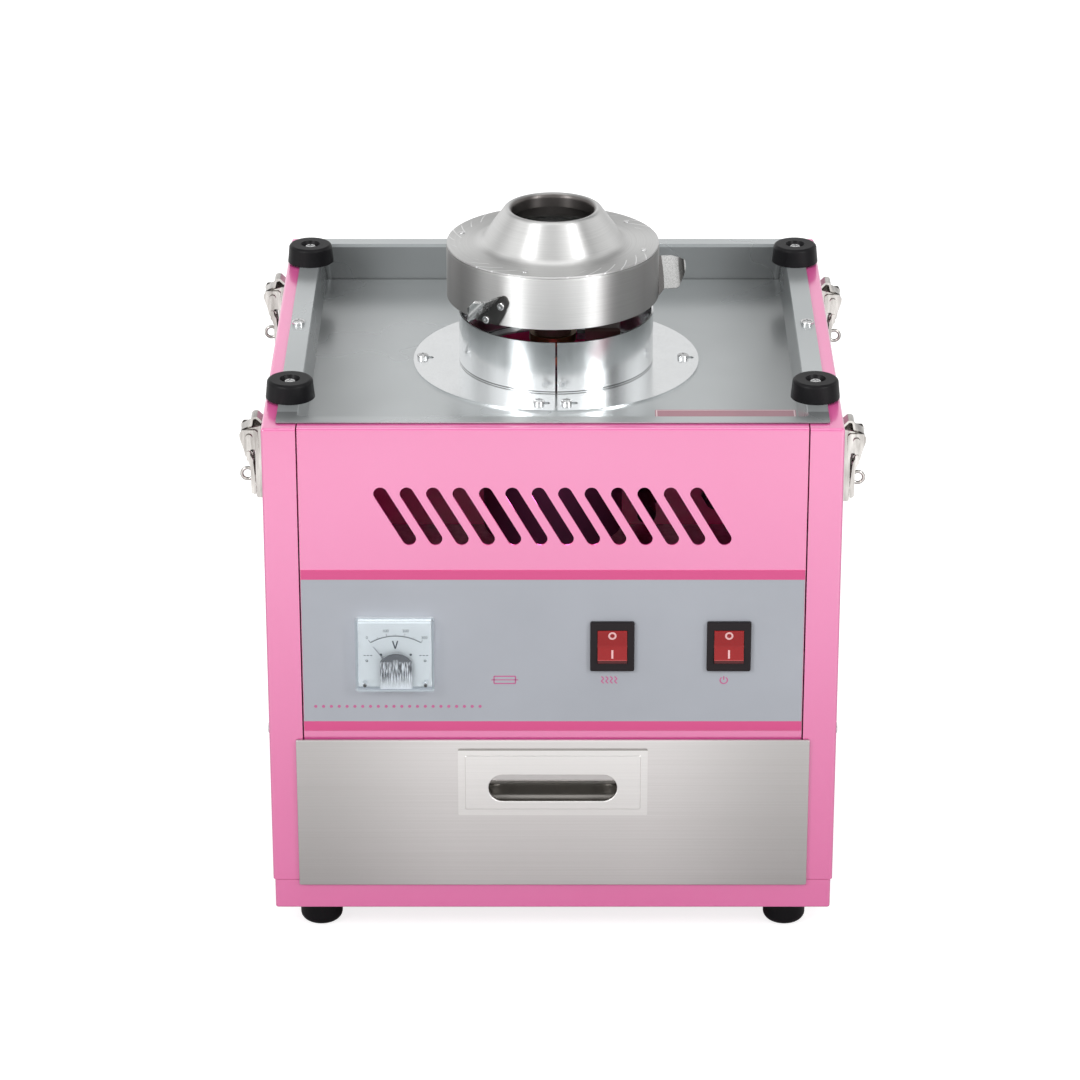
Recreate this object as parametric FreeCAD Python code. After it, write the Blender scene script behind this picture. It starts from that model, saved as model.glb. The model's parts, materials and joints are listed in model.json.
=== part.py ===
import FreeCAD, Part
import math
import os

from FreeCAD import Vector

# Electric candy floss machine: a sheet-metal cabinet with a drawer, a control panel,
# a drip tray and a spinning head driven by a motor that hangs under the tray.
# Millimetres. +Z is up, -Y is the control panel's side, and the feet stand on z = 0.

# ---------------------------------------------------------------- cabinet sizes
case_width = 330.0
case_depth = 319.5
case_height = 305.5
foot_height = 18.0
sheet = 1.2
bend_radius = 1.8
fit_gap = 0.3
seam = 0.8
pan_height = 18.6
pan_side_step = 1.0
pan_lip = 15.0
post_width = 19.5
panel_recess = 1.0
drawer_bay_height = 91.8
shelf_flange = 12.0

# ---------------------------------------------------------------- vents
slot_count = 13
slot_pitch = 15.0
slot_width = 8.0
slot_span = 32.0
slot_lean = 30.0
slot_row_drop = 54.0
louvre_count = 6
louvre_pitch = 12.0
louvre_width = 90.0
louvre_height = 4.0

# ---------------------------------------------------------------- drip tray
tray_front_margin = 7.5
tray_back_margin = 3.0
tray_side_margin = 8.1
tray_sink = 21.5
tray_draft = 3.0
rim_side = 11.6
rim_front = 8.8
rim_back = 9.8
tray_corner = 3.0
tray_hole_radius = 52.0
rim_relief_width = 2.4
rim_relief_depth = 0.6
rim_screw_inset = 4.7
rim_screw_shift = 3.0

# ---------------------------------------------------------------- rubber feet and bumpers
foot_radius = 12.5
foot_rounding = 5.0
foot_inset_x = 27.0
foot_inset_y = 22.0
foot_counterbore = 8.0
counterbore_radius = 4.2
bumper_radius = 14.2
bumper_top_radius = 13.1
bumper_height = 11.0
bumper_recess = 3.4
bumper_recess_radius = 6.4
bumper_rounding = 2.0
bumper_inset_x = 14.4
bumper_span = 114.5

# ---------------------------------------------------------------- screws and rivets
screw_radius = 1.9
screw_clearance = 0.2
head_radius = 3.4
rim_head_radius = 4.0
head_height = 2.2
screw_length = 8.0
recess_width = 1.0
recess_depth = 1.2
nut_radius = 3.6
nut_height = 2.6
rubber_screw_length = 22.0

# ---------------------------------------------------------------- control panel
overlay_thickness = 0.4
overlay_bottom = 5.7
overlay_height = 101.9
overlay_side_gap = 0.3
meter_size = 45.0
meter_x = -91.0
meter_height = 56.0
meter_flange = 1.2
meter_cover_depth = 4.8
meter_cover_wall = 1.2
meter_barrel_radius = 19.0
meter_barrel_depth = 30.0
meter_dial_thickness = 0.5
needle_length = 21.0
needle_tail = 6.0
needle_width = 0.35
needle_thickness = 0.4
needle_hub_radius = 2.0
needle_axle_radius = 0.6
needle_drop = 12.4
needle_rest_angle = 36.0
meter_screw_inset = 5.0
meter_screw_radius = 1.1
switch_x = (34.3, 101.5)
switch_height = 60.2
bezel_width = 25.5
bezel_height = 31.0
bezel_thickness = 2.2
switch_body_width = 21.5
switch_body_height = 27.0
switch_body_depth = 22.0
rocker_width = 16.9
rocker_height = 20.2
rocker_gap = 0.3
rocker_tilt = 8.0
rocker_pin_radius = 1.5
rocker_pin_length = 1.2
rocker_pin_depth = 2.4
rocker_edge_reach = 2.0
rocker_valley_reach = 0.4
rocker_back_reach = 4.6
running_gap = 0.05

# ---------------------------------------------------------------- drawer
drawer_front_side = 15.5
drawer_front_drop = 2.6
drawer_front_rise = 0.6
drawer_front_thickness = 1.5
drawer_side_room = 25.0
drawer_back_room = 34.8
drawer_floor_gap = 4.4
drawer_headroom = 9.2
drawer_wall = 1.0
drawer_flange = 4.7
runner_back_room = 33.0
runner_web_drop = 4.0
runner_screw_inset = 27.0
pull_width = 110.6
pull_height = 43.0
pull_drop = 27.0
pull_plate = 0.6
pull_raise = 0.6
pull_border = 4.0
pull_hole_width = 75.0
pull_hole_height = 17.0
pull_hole_drop = 3.6
pull_pocket_depth = 14.0
pull_pocket_sink = 6.0
pull_pocket_corner = 8.0
pull_brow = ((1.0, 4.5), (5.0, 8.5))  # depth behind the plate and drop, where the pocket's brow bends
pull_brow_foot = 12.0
pull_brow_bend = 4.0
pull_lip_rounding = 0.5
pull_wall = 0.8

# ---------------------------------------------------------------- collar round the spinner
collar_radius = 58.0
collar_sheet = 1.0
collar_height = 32.4
collar_flange_radius = 85.4
collar_seam = 1.2
collar_shift = 2.0
collar_slot_length = 9.0
collar_slot_width = 4.0
side_screw_radius = 78.0
end_screw_offset = 8.1
end_screw_reach = 74.0

# ---------------------------------------------------------------- motor and shaft
motor_plate_size = 136.0
motor_plate_thickness = 3.0
motor_plate_corner = 12.0
bush_height = 15.0
bush_radius = 8.0
bush_spacing = 56.0
stud_radius = 2.5
stud_length = 28.0
housing_radius = 42.0
housing_wall = 2.0
housing_length = 84.0
housing_screw_radius = 30.0
boss_radius = 12.0
bearing_radius = 8.0
bearing_length = 12.0
bearing_gap = 0.03
shaft_radius = 4.0
rotor_shaft_radius = 6.0
rotor_radius = 24.0
rotor_air_gap = 0.6
core_length = 50.0
stator_slots = 12
end_cap_thickness = 3.0

# ---------------------------------------------------------------- slip rings and brushes
drum_radius = 11.0
drum_length = 26.0
ring_radius = 14.0
ring_height = 5.0
ring_pitch = 12.0
brush_gap = 0.3
brush_width = 6.0
brush_height = 4.0
brush_length = 15.0
holder_depth = 21.0
holder_width = 16.0

# ---------------------------------------------------------------- spinner head
head_gap = 10.2
band_radius = 63.2
band_height = 31.5
band_sheet = 1.2
band_flange = 11.2
band_corner = 1.5
cover_sheet = 1.0
cone_base_radius = 43.5
cone_rise = 21.1
lip_radius = 28.5
hole_radius = 24.3
hole_neck = 8.0
base_wall = 13.0
hub_flange_radius = 18.0
hub_flange_height = 4.0
hub_radius = 9.0
hub_length = 17.0
hub_neck_radius = 6.0
hub_nut_radius = 8.0
hub_nut_height = 4.3
cup_radius = 46.5
cup_floor_radius = 44.0
cup_height = 25.5
cup_sheet = 1.2
heater_radius = 52.5
heater_wire_radius = 2.6
heater_turns = 3
heater_pitch = 6.0
insulator_count = 6
insulator_width = 6.0
insulator_inner = 49.5
insulator_outer = 58.0

# ---------------------------------------------------------------- wind vanes on the head
# Each vane's angle round the head, and how far its blade leans over: both are set by hand.
vane_places = ((-134.7, 6.0), (-2.7, 0.0), (105.3, 3.0))
vane_sheet = 1.0
vane_sweep = 17.8
vane_rise = 20.3
vane_hang = 0.8
vane_reach = 17.4
vane_flat = 10.4
vane_curl_radius = 6.5
vane_curl_angle = 65.0
vane_tip_drop = 2.6
vane_tab_overhang = 3.8
pop_rivet_radius = 1.6
pop_head_radius = 2.4
pop_head_height = 0.9
pop_hollow_radius = 1.0
pop_rivet_places = ((7.2, 2.0), (16.5, 12.1))
cover_rivet_radius = 1.3
cover_head_radius = 1.7
cover_head_height = 0.5
cover_rivet_inset = 7.2
cover_rivet_angles = (-107.0, -16.4, 37.9, 165.4)

# ---------------------------------------------------------------- toggle latches
latch_front_inset = 48.0
latch_back_inset = 41.5
latch_pivot_out = 9.6
latch_pivot_drop = 21.1
right_latch_drop = 2.4
latch_plate_half = 9.0
latch_plate_top = 7.0
latch_plate_bottom = 47.0
latch_plate_sheet = 1.2
ear_inner = 6.0
ear_sheet = 1.2
ear_bottom = 38.0
ear_edge = 6.2
lever_sheet = 1.0
pivot_radius = 1.6
pivot_head_radius = 2.0
pivot_head = 1.0
hook_pin_out = 0.5
hook_pin_drop = 11.5
hook_pin_radius = 1.0
hook_pin_wall = 1.3
hook_half = 5.4
hook_sheet = 1.3
pin_end_width = 2.2
pin_end_height = 6.0
pin_end_thickness = 0.6
eye_radius = 3.45
eye_wire = 0.95
eye_out = 1.8
eye_drop = 25.8
eye_slot_half = 2.0
eye_slot_margin = 2.5
latch_rivet_radius = 1.6

# ---------------------------------------------------------------- back panel fittings
gland_x = 105.0
gland_height = 150.0
gland_reach = 16.0
gland_bore_radius = 3.6
gland_body_radius = 9.0
gland_thread_radius = 6.2
gland_inside = 12.0
fuse_x = 60.0
fuse_height = 150.0
fuse_barrel_radius = 6.0
fuse_bore_radius = 3.4
fuse_barrel_depth = 36.0
fuse_flange_radius = 8.5
fuse_flange_height = 2.0
fuse_cap_radius = 6.8
fuse_cap_length = 9.0
fuse_neck = 1.8
fuse_link_radius = 2.6
fuse_link_length = 20.0

# ---------------------------------------------------------------- places worked out from the sizes
half = case_width / 2
front_reach = overlay_thickness - panel_recess + meter_flange + meter_cover_depth
back_reach = gland_reach - sheet
front_y = (front_reach - back_reach - case_depth) / 2
back_y = front_y + case_depth
base_z = foot_height
pan_top_z = base_z + pan_height
case_top_z = base_z + case_height
side_bottom_z = pan_top_z + fit_gap
shelf_top_z = pan_top_z + drawer_bay_height
shelf_z = shelf_top_z - sheet
panel_y = front_y + panel_recess
overlay_y = panel_y - overlay_thickness
panel_half = half - post_width - seam
rim_top_z = case_top_z + sheet
tray_floor_z = rim_top_z - tray_sink
tray_under_z = tray_floor_z - sheet
tray_half = half - tray_side_margin
tray_front_y = front_y + tray_front_margin
tray_back_y = back_y - tray_back_margin
spin_y = (tray_front_y + tray_back_y) / 2
well_half = tray_half - rim_side
well_front_y = tray_front_y + rim_front
well_back_y = tray_back_y - rim_back
screw_hole = screw_radius + screw_clearance
bumper_x = half - bumper_inset_x
bumper_ys = (spin_y - bumper_span, spin_y + bumper_span)
foot_x = half - foot_inset_x
foot_ys = (front_y + foot_inset_y, back_y - foot_inset_y)
rim_screw_x = tray_half - rim_screw_inset
rim_screw_y = spin_y + rim_screw_shift
meter_z = shelf_top_z + meter_height
needle_z = meter_z - needle_drop
meter_face_y = overlay_y - meter_flange
switch_z = shelf_top_z + switch_height
bezel_y = overlay_y - bezel_thickness
rocker_y = bezel_y + rocker_pin_depth
drawer_back_y = front_y - fit_gap
drawer_face_y = drawer_back_y - drawer_front_thickness
drawer_front_half = half - drawer_front_side
drawer_front_bottom_z = pan_top_z - drawer_front_drop
drawer_front_top_z = shelf_top_z + drawer_front_rise
drawer_half_width = half - drawer_side_room
drawer_end_y = back_y - drawer_back_room
drawer_floor_z = pan_top_z + drawer_floor_gap
drawer_top_z = shelf_z - drawer_headroom
pull_centre_z = drawer_front_top_z - pull_drop
bush_top_z = tray_under_z
plate_top_z = bush_top_z - bush_height
plate_z = plate_top_z - motor_plate_thickness
housing_z = plate_z - housing_length
upper_bearing_z = plate_z - bearing_length / 2
lower_bearing_z = housing_z - bearing_length / 2
core_z = housing_z + (housing_length - core_length) / 2
collar_top_z = tray_floor_z + collar_height
band_z = collar_top_z + head_gap
band_top_z = band_z + band_height
head_floor_z = band_z + band_sheet
cup_z = head_floor_z + band_sheet
hub_z = head_floor_z - hub_flange_height - hub_length
drum_z = hub_z - drum_length
first_ring_z = drum_z + (drum_length - ring_pitch - ring_height) / 2
shaft_top_z = cup_z + cup_sheet + hub_nut_height + 1.5
latch_ys = (front_y + latch_front_inset, back_y - latch_back_inset)
back_panel_y = back_y - 2 * sheet
gland_z = gland_height
fuse_z = fuse_height

X_AXIS = Vector(1, 0, 0)
Y_AXIS = Vector(0, 1, 0)
Z_AXIS = Vector(0, 0, 1)
SPIN_AXIS = Vector(0, spin_y, 0)


# ---------------------------------------------------------------- small helpers
def block(x0, x1, y0, y1, z0, z1):
    return Part.makeBox(x1 - x0, y1 - y0, z1 - z0, Vector(x0, y0, z0))


def rod(radius, x, y, z, length, direction=Z_AXIS):
    return Part.makeCylinder(radius, length, Vector(x, y, z), direction)


def tube(outer, inner, x, y, z, length, direction=Z_AXIS):
    wall = rod(outer, x, y, z, length, direction)
    return wall.cut(rod(inner, x, y, z, length, direction))


def joined(shapes):
    shapes = list(shapes)
    return shapes[0].fuse(shapes[1:]).removeSplitter()


def without(shape, cuts):
    return shape.cut(list(cuts))


def turned(shape, angle, centre=SPIN_AXIS, axis=Z_AXIS):
    copy = shape.copy()
    copy.rotate(centre, axis, angle)
    return copy


def moved(shape, x, y, z):
    copy = shape.copy()
    copy.translate(Vector(x, y, z))
    return copy


def mirrored(shape):
    return shape.mirror(Vector(0, 0, 0), X_AXIS)


def rounded_edges(shape, radius, wanted):
    return shape.makeFillet(radius, [edge for edge in shape.Edges if wanted(edge)])


def runs_along(edge, axis):
    if not isinstance(edge.Curve, Part.Line):
        return False
    return edge.tangentAt(edge.FirstParameter).cross(axis).Length < 1e-6


def line_edge(start, end):
    return Part.LineSegment(start, end).toShape()


def path_edges(points, radii, closed=False):
    # A path of straight runs; each corner is rounded by its own radius, 0 for a sharp one.
    edges = []
    count = len(points)
    corners = range(count) if closed else range(1, count - 1)
    marks = []
    for place in corners:
        corner = points[place]
        back = (points[place - 1] - corner).normalize()
        ahead = (points[(place + 1) % count] - corner).normalize()
        radius = radii[place]
        if radius == 0:
            marks.append((corner, None, corner))
            continue
        half_angle = back.getAngle(ahead) / 2
        reach = radius / math.tan(half_angle)
        towards = (back + ahead).normalize()
        middle = corner + towards * (radius / math.sin(half_angle) - radius)
        marks.append((corner + back * reach, middle, corner + ahead * reach))
    last = marks[-1][2] if closed else points[0]
    for start, middle, end in marks:
        if (start - last).Length > 1e-6:
            edges.append(line_edge(last, start))
        if middle is not None:
            edges.append(Part.Arc(start, middle, end).toShape())
        last = end
    if not closed:
        edges.append(line_edge(last, points[-1]))
    return edges


def loop_face(points, radii):
    return Part.Face(Part.Wire(path_edges(points, radii, closed=True)))


def in_xy(pairs, z):
    return [Vector(x, y, z) for x, y in pairs]


def in_xz(pairs, y):
    return [Vector(x, y, z) for x, z in pairs]


def in_yz(pairs, x):
    return [Vector(x, y, z) for y, z in pairs]


def rectangle(x0, x1, z0, z1):
    return [(x0, z0), (x1, z0), (x1, z1), (x0, z1)]


def rounded_plate_y(x0, x1, z0, z1, radius, y0, y1):
    # A plate that faces -Y, with rounded corners.
    face = loop_face(in_xz(rectangle(x0, x1, z0, z1), y0), [radius] * 4)
    return face.extrude(Vector(0, y1 - y0, 0))


def offset_pairs(pairs, distance):
    # The same path moved sideways, to the left of its direction, with mitred corners.
    result = []
    last = len(pairs) - 1
    for place, (u, v) in enumerate(pairs):
        normals = []
        for start, end in ((place - 1, place), (place, place + 1)):
            if start < 0 or end > last:
                continue
            du = pairs[end][0] - pairs[start][0]
            dv = pairs[end][1] - pairs[start][1]
            length = math.hypot(du, dv)
            normals.append((-dv / length, du / length))
        nu = sum(normal[0] for normal in normals)
        nv = sum(normal[1] for normal in normals)
        size = math.hypot(nu, nv)
        nu, nv = nu / size, nv / size
        stretch = distance / (nu * normals[0][0] + nv * normals[0][1])
        result.append((u + nu * stretch, v + nv * stretch))
    return result


def turns_left(pairs, place):
    u0, v0 = pairs[place - 1]
    u1, v1 = pairs[place]
    u2, v2 = pairs[place + 1]
    return (u1 - u0) * (v2 - v1) - (v1 - v0) * (u2 - u1) > 0


def sheet_face(pairs, radii, thickness, y=spin_y):
    # A bent sheet's section in an XZ plane, to the left of its path.
    inner = offset_pairs(pairs, thickness)
    inner_radii = []
    for place, radius in enumerate(radii):
        if radius == 0 or place in (0, len(pairs) - 1):
            inner_radii.append(0)
        elif turns_left(pairs, place):
            inner_radii.append(max(radius - thickness, 0))
        else:
            inner_radii.append(radius + thickness)
    outside = in_xz(pairs, y)
    inside = in_xz(inner, y)
    edges = path_edges(outside, radii) + path_edges(inside, inner_radii)
    edges.append(line_edge(outside[0], inside[0]))
    edges.append(line_edge(outside[-1], inside[-1]))
    return Part.Face(Part.Wire(Part.__sortEdges__(edges)))


def spun(face):
    return face.revolve(SPIN_AXIS, Z_AXIS, 360)


def hexagon(radius, x, y, z, height):
    corners = []
    for side in range(6):
        angle = math.radians(60 * side)
        corners.append((x + radius * math.cos(angle), y + radius * math.sin(angle)))
    return loop_face(in_xy(corners, z), [0] * 6).extrude(Vector(0, 0, height))


def stadium_y(x, z, span, width, lean, y0, depth):
    # A slot cut along Y; its two round ends are span apart, leaning from the vertical.
    dx = math.sin(math.radians(lean)) * span / 2
    dz = math.cos(math.radians(lean)) * span / 2
    middle = block(-width / 2, width / 2, y0, y0 + depth, -span / 2, span / 2)
    middle.rotate(Vector(0, 0, 0), Y_AXIS, -lean)
    middle.translate(Vector(x, 0, z))
    ends = [rod(width / 2, x - dx, y0, z + dz, depth, Y_AXIS)]
    ends.append(rod(width / 2, x + dx, y0, z - dz, depth, Y_AXIS))
    return joined([middle] + ends)


def pan_head_screw(length, head_size=head_radius):
    # Head up along +Z, with its seat at the origin, a rounded top and a cross recess.
    head = rod(head_size, 0, 0, 0, head_height)
    head = rounded_edges(head, head_height * 0.45, lambda edge: edge.CenterOfMass.z > head_height - 1e-6)
    body = rod(screw_radius, 0, 0, -length, length)
    arm = head_size * 0.6
    top = head_height - recess_depth
    cross = [block(-arm, arm, -recess_width / 2, recess_width / 2, top, head_height)]
    cross.append(block(-recess_width / 2, recess_width / 2, -arm, arm, top, head_height))
    return without(joined([head, body]), cross)


def aimed(shape, place, direction):
    copy = shape.copy()
    copy.Placement = FreeCAD.Placement(place, FreeCAD.Rotation(Z_AXIS, direction))
    return copy


# ---------------------------------------------------------------- where the machine screws go
def collar_screw_spots():
    spots = [(-side_screw_radius, 0), (side_screw_radius, 0)]
    for side in (-1, 1):
        for end in (-1, 1):
            spots.append((side * end_screw_offset, end * end_screw_reach))
    return spots


def runner_screw_ys():
    return (front_y + runner_screw_inset, back_y - 2 * runner_screw_inset)


def runner_screw_z():
    # Halfway between the runner's upper ledge and the shelf.
    return (drawer_top_z + fit_gap + sheet + shelf_z) / 2


def back_screw_spots():
    return [(side * (half - post_width / 2), z) for side in (-1, 1) for z in (60.0, 180.0, 300.0)]


def housing_screw_spots():
    spots = []
    for quarter in range(4):
        angle = math.radians(90 * quarter + 45)
        spots.append((housing_screw_radius * math.cos(angle), housing_screw_radius * math.sin(angle)))
    return spots


def tray_holes():
    cuts = [rod(tray_hole_radius, 0, spin_y, tray_under_z - 1, sheet + 2)]
    for x, y in collar_screw_spots():
        cuts.append(rod(screw_hole, x, spin_y + y, tray_under_z - 1, sheet + 2))
    cuts.extend(rim_holes())
    return cuts


def rim_holes():
    cuts = []
    depth = 3 * sheet
    for side in (-1, 1):
        cuts.append(rod(screw_hole, side * rim_screw_x, rim_screw_y, rim_top_z - depth, depth + 1))
        for y in bumper_ys:
            cuts.append(rod(screw_hole, side * bumper_x, y, rim_top_z - depth, depth + 1))
    return cuts


# ---------------------------------------------------------------- cabinet
def base_pan():
    pan_half = half - pan_side_step
    shell = block(-pan_half, pan_half, front_y, back_y, base_z, pan_top_z)
    shell = rounded_edges(shell, bend_radius, lambda edge: runs_along(edge, Z_AXIS))
    under = lambda edge: edge.CenterOfMass.z < base_z + 1e-6
    shell = rounded_edges(shell, bend_radius * 0.6, under)
    inside = block(
        -pan_half + sheet, pan_half - sheet, front_y + sheet, back_y - sheet, base_z + sheet, pan_top_z - sheet
    )
    mouth = block(
        -pan_half + pan_lip, pan_half - pan_lip, front_y + pan_lip, back_y - pan_lip, base_z + sheet, pan_top_z + 1
    )
    cuts = [inside, mouth]
    for x in (-foot_x, foot_x):
        for y in foot_ys:
            cuts.append(rod(screw_hole, x, y, base_z - 1, sheet + 2))
    for row in range(louvre_count):
        x = (row - (louvre_count - 1) / 2) * louvre_pitch
        slot = block(x - 2, x + 2, spin_y - louvre_width / 2, spin_y + louvre_width / 2, base_z - 1, base_z + 2)
        cuts.append(slot)
    return without(shell, cuts)


def side_panel():
    # The right side: a wall whose edges are folded in at the front, back, top and bottom.
    inner_x = half - post_width
    shell = block(inner_x, half, front_y, back_y, side_bottom_z, case_top_z)

    def outer_edge(edge):
        centre = edge.CenterOfMass
        on_side = abs(centre.x - half) < 1e-6 and centre.z > side_bottom_z + 1
        on_brow = abs(centre.z - case_top_z) < 1e-6 and abs(centre.y - front_y) < 1e-6
        return on_side or on_brow

    shell = rounded_edges(shell, bend_radius, outer_edge)
    hollow = block(
        inner_x - 1, half - sheet, front_y + sheet, back_y - sheet, side_bottom_z + sheet, case_top_z - sheet
    )
    well_x = well_half + sheet + fit_gap
    notch_y = well_front_y - sheet - fit_gap
    notch = block(inner_x - 1, well_x, notch_y, back_y + 1, case_top_z - sheet - 1, case_top_z + 1)
    cuts = [hollow, notch] + rim_holes()
    for y in runner_screw_ys():
        cuts.append(rod(screw_hole, half - sheet - 1, y, runner_screw_z(), sheet + 2, X_AXIS))
    for x, z in back_screw_spots():
        if x > 0:
            cuts.append(rod(screw_hole, x, back_y - sheet - 1, z, sheet + 2, Y_AXIS))
    return without(shell, cuts)


def latch_rivet_holes(side):
    cuts = []
    for y in latch_ys:
        for dy, dz in latch_rivet_offsets():
            z = latch_pivot_z(side) + dz
            cuts.append(rod(latch_rivet_radius, half - sheet - 1, y + dy, z, sheet + 2, X_AXIS))
    return cuts


def right_side_panel():
    return without(side_panel(), latch_rivet_holes(1))


def left_side_panel():
    return mirrored(without(side_panel(), latch_rivet_holes(-1)))


def back_panel():
    wide = half - sheet - fit_gap
    middle = well_half + sheet
    low = side_bottom_z + sheet + fit_gap
    outer_y = back_y - sheet
    wall = block(-wide, wide, back_panel_y, outer_y, low, case_top_z - sheet - fit_gap)
    upper = block(-middle, middle, back_panel_y, outer_y, low, case_top_z)
    skirt_half = half - post_width - fit_gap
    skirt = block(-skirt_half, skirt_half, back_panel_y, outer_y, base_z + sheet + fit_gap, low)
    skirt = skirt.cut(block(-half, half, back_panel_y - 1, outer_y, pan_top_z - sheet - fit_gap, pan_top_z))
    ledge_y = well_back_y + sheet + fit_gap
    ledge = block(-middle, middle, ledge_y, outer_y, case_top_z - sheet, case_top_z)
    panel = joined([wall, upper, ledge])
    cuts = [rod(gland_thread_radius, gland_x, back_panel_y - 1, gland_z, sheet + 2, Y_AXIS)]
    cuts.append(rod(fuse_barrel_radius, fuse_x, back_panel_y - 1, fuse_z, sheet + 2, Y_AXIS))
    for x, z in back_screw_spots():
        cuts.append(rod(screw_hole, x, back_panel_y - 1, z, sheet + 2, Y_AXIS))
    for row in range(louvre_count):
        z = case_top_z - slot_row_drop - (row - (louvre_count - 1) / 2) * louvre_pitch
        for side in (-1, 1):
            cuts.append(stadium_y(side * 70, z, louvre_width, louvre_height, 90, back_panel_y - 1, sheet + 2))
    return without(panel, cuts)


def panel_openings(y0, depth):
    # Holes for the meter's barrel and the two switch bodies, through the panel and its overlay.
    cuts = [rod(meter_barrel_radius + fit_gap, meter_x, y0, meter_z, depth, Y_AXIS)]
    for x in switch_x:
        wide = switch_body_width / 2 + fit_gap
        tall = switch_body_height / 2 + fit_gap
        cuts.append(block(x - wide, x + wide, y0, y0 + depth, switch_z - tall, switch_z + tall))
    return cuts


def slot_row(y0, depth):
    cuts = []
    z = case_top_z - slot_row_drop
    for place in range(slot_count):
        x = (place - (slot_count - 1) / 2) * slot_pitch
        cuts.append(stadium_y(x, z, slot_span, slot_width, slot_lean, y0, depth))
    return cuts


def front_panel():
    back = well_front_y - sheet - fit_gap
    shell = block(-panel_half, panel_half, panel_y, back, shelf_top_z, case_top_z)
    brow = lambda edge: edge.CenterOfMass.z > case_top_z - 1e-6 and abs(edge.CenterOfMass.y - panel_y) < 1e-6
    shell = rounded_edges(shell, bend_radius, brow)
    hollow = block(
        -panel_half + sheet, panel_half - sheet, panel_y + sheet, back + 1, shelf_top_z + sheet, case_top_z - sheet
    )
    cuts = [hollow] + panel_openings(panel_y - 1, sheet + 2) + slot_row(panel_y - 1, sheet + 2)
    return without(shell, cuts)


def control_overlay():
    wide = panel_half - overlay_side_gap
    low = shelf_top_z + overlay_bottom
    film = block(-wide, wide, overlay_y, panel_y, low, low + overlay_height)
    return without(film, panel_openings(overlay_y - 1, overlay_thickness + 2))


def inner_shelf():
    wide = half - sheet - fit_gap
    start = front_y + sheet + fit_gap
    plate = block(-wide, wide, start, back_panel_y - fit_gap, shelf_z, shelf_top_z)
    flanges = []
    clear_y = start + sheet
    for side in (-1, 1):
        x0, x1 = sorted((side * wide, side * (wide - sheet)))
        flanges.append(block(x0, x1, clear_y, back_panel_y - fit_gap, shelf_z, shelf_top_z + shelf_flange))
    return joined([plate] + flanges)


def rounded_outline(x0, x1, y0, y1, z, radius):
    return Part.Wire(path_edges(in_xy([(x0, y0), (x1, y0), (x1, y1), (x0, y1)], z), [radius] * 4, closed=True))


def tray_well(grow, top_z, bottom_z):
    # A tapering tub: wide at the rim's top, narrower by the draft at the floor.
    slope = tray_draft / tray_sink
    wires = []
    for z in (top_z, bottom_z):
        inset = (rim_top_z - z) * slope - grow
        radius = tray_corner + grow
        wires.append(
            rounded_outline(
                -well_half + inset, well_half - inset, well_front_y + inset, well_back_y - inset, z, radius
            )
        )
    return Part.makeLoft(wires, True, True)


def rim_relief():
    # The rim's edge stands just clear of the casing all round.
    low, high = case_top_z - 1, case_top_z + rim_relief_depth
    inset = rim_relief_width
    whole = block(-half, half, front_y, back_y, low, high)
    seat = block(-tray_half + inset, tray_half - inset, tray_front_y + inset, tray_back_y - inset, low, high)
    return whole.cut(seat)


def top_tray():
    rim = block(-tray_half, tray_half, tray_front_y, tray_back_y, case_top_z, rim_top_z)
    rim = rounded_edges(rim, tray_corner / 2, lambda edge: runs_along(edge, Z_AXIS))
    rim = rim.cut(rim_relief())
    tub = tray_well(sheet, rim_top_z, tray_under_z)
    tray = joined([rim, tub])
    return without(tray, [tray_well(0, rim_top_z + 1, tray_floor_z)] + tray_holes())


# ---------------------------------------------------------------- rubber parts and their screws
def feet():
    foot = rod(foot_radius, 0, 0, 0, foot_height)
    foot = rounded_edges(foot, foot_rounding, lambda edge: edge.CenterOfMass.z < 1e-6)
    foot = without(foot, [rod(counterbore_radius, 0, 0, -1, foot_counterbore + 1), rod(screw_hole, 0, 0, 0, foot_height)])
    return Part.makeCompound([moved(foot, x, y, 0) for x in (-foot_x, foot_x) for y in foot_ys])


def bowl_bumpers():
    bumper = Part.makeCone(bumper_radius, bumper_top_radius, bumper_height)
    bumper = rounded_edges(bumper, bumper_rounding, lambda edge: edge.CenterOfMass.z > bumper_height - 1e-6)
    throat = bumper_height - bumper_recess
    cup = Part.makeCone(counterbore_radius, bumper_recess_radius, bumper_recess + 1, Vector(0, 0, throat))
    bumper = without(bumper, [cup, rod(screw_hole, 0, 0, -1, bumper_height)])
    return Part.makeCompound([moved(bumper, x, y, rim_top_z) for x in (-bumper_x, bumper_x) for y in bumper_ys])


def rubber_screws():
    screw = pan_head_screw(rubber_screw_length)
    seat = bumper_height - bumper_recess
    nut = hexagon(nut_radius, 0, 0, 0, nut_height).cut(rod(screw_radius, 0, 0, -1, nut_height + 2))
    solids = []
    for y in bumper_ys:
        for x in (-bumper_x, bumper_x):
            solids.append(moved(screw, x, y, rim_top_z + seat))
            solids.append(moved(nut, x, y, case_top_z - sheet - nut_height))
    for y in foot_ys:
        for x in (-foot_x, foot_x):
            solids.append(aimed(screw, Vector(x, y, foot_counterbore), -Z_AXIS))
            solids.append(moved(nut, x, y, base_z + sheet))
    return Part.makeCompound(solids)


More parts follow.
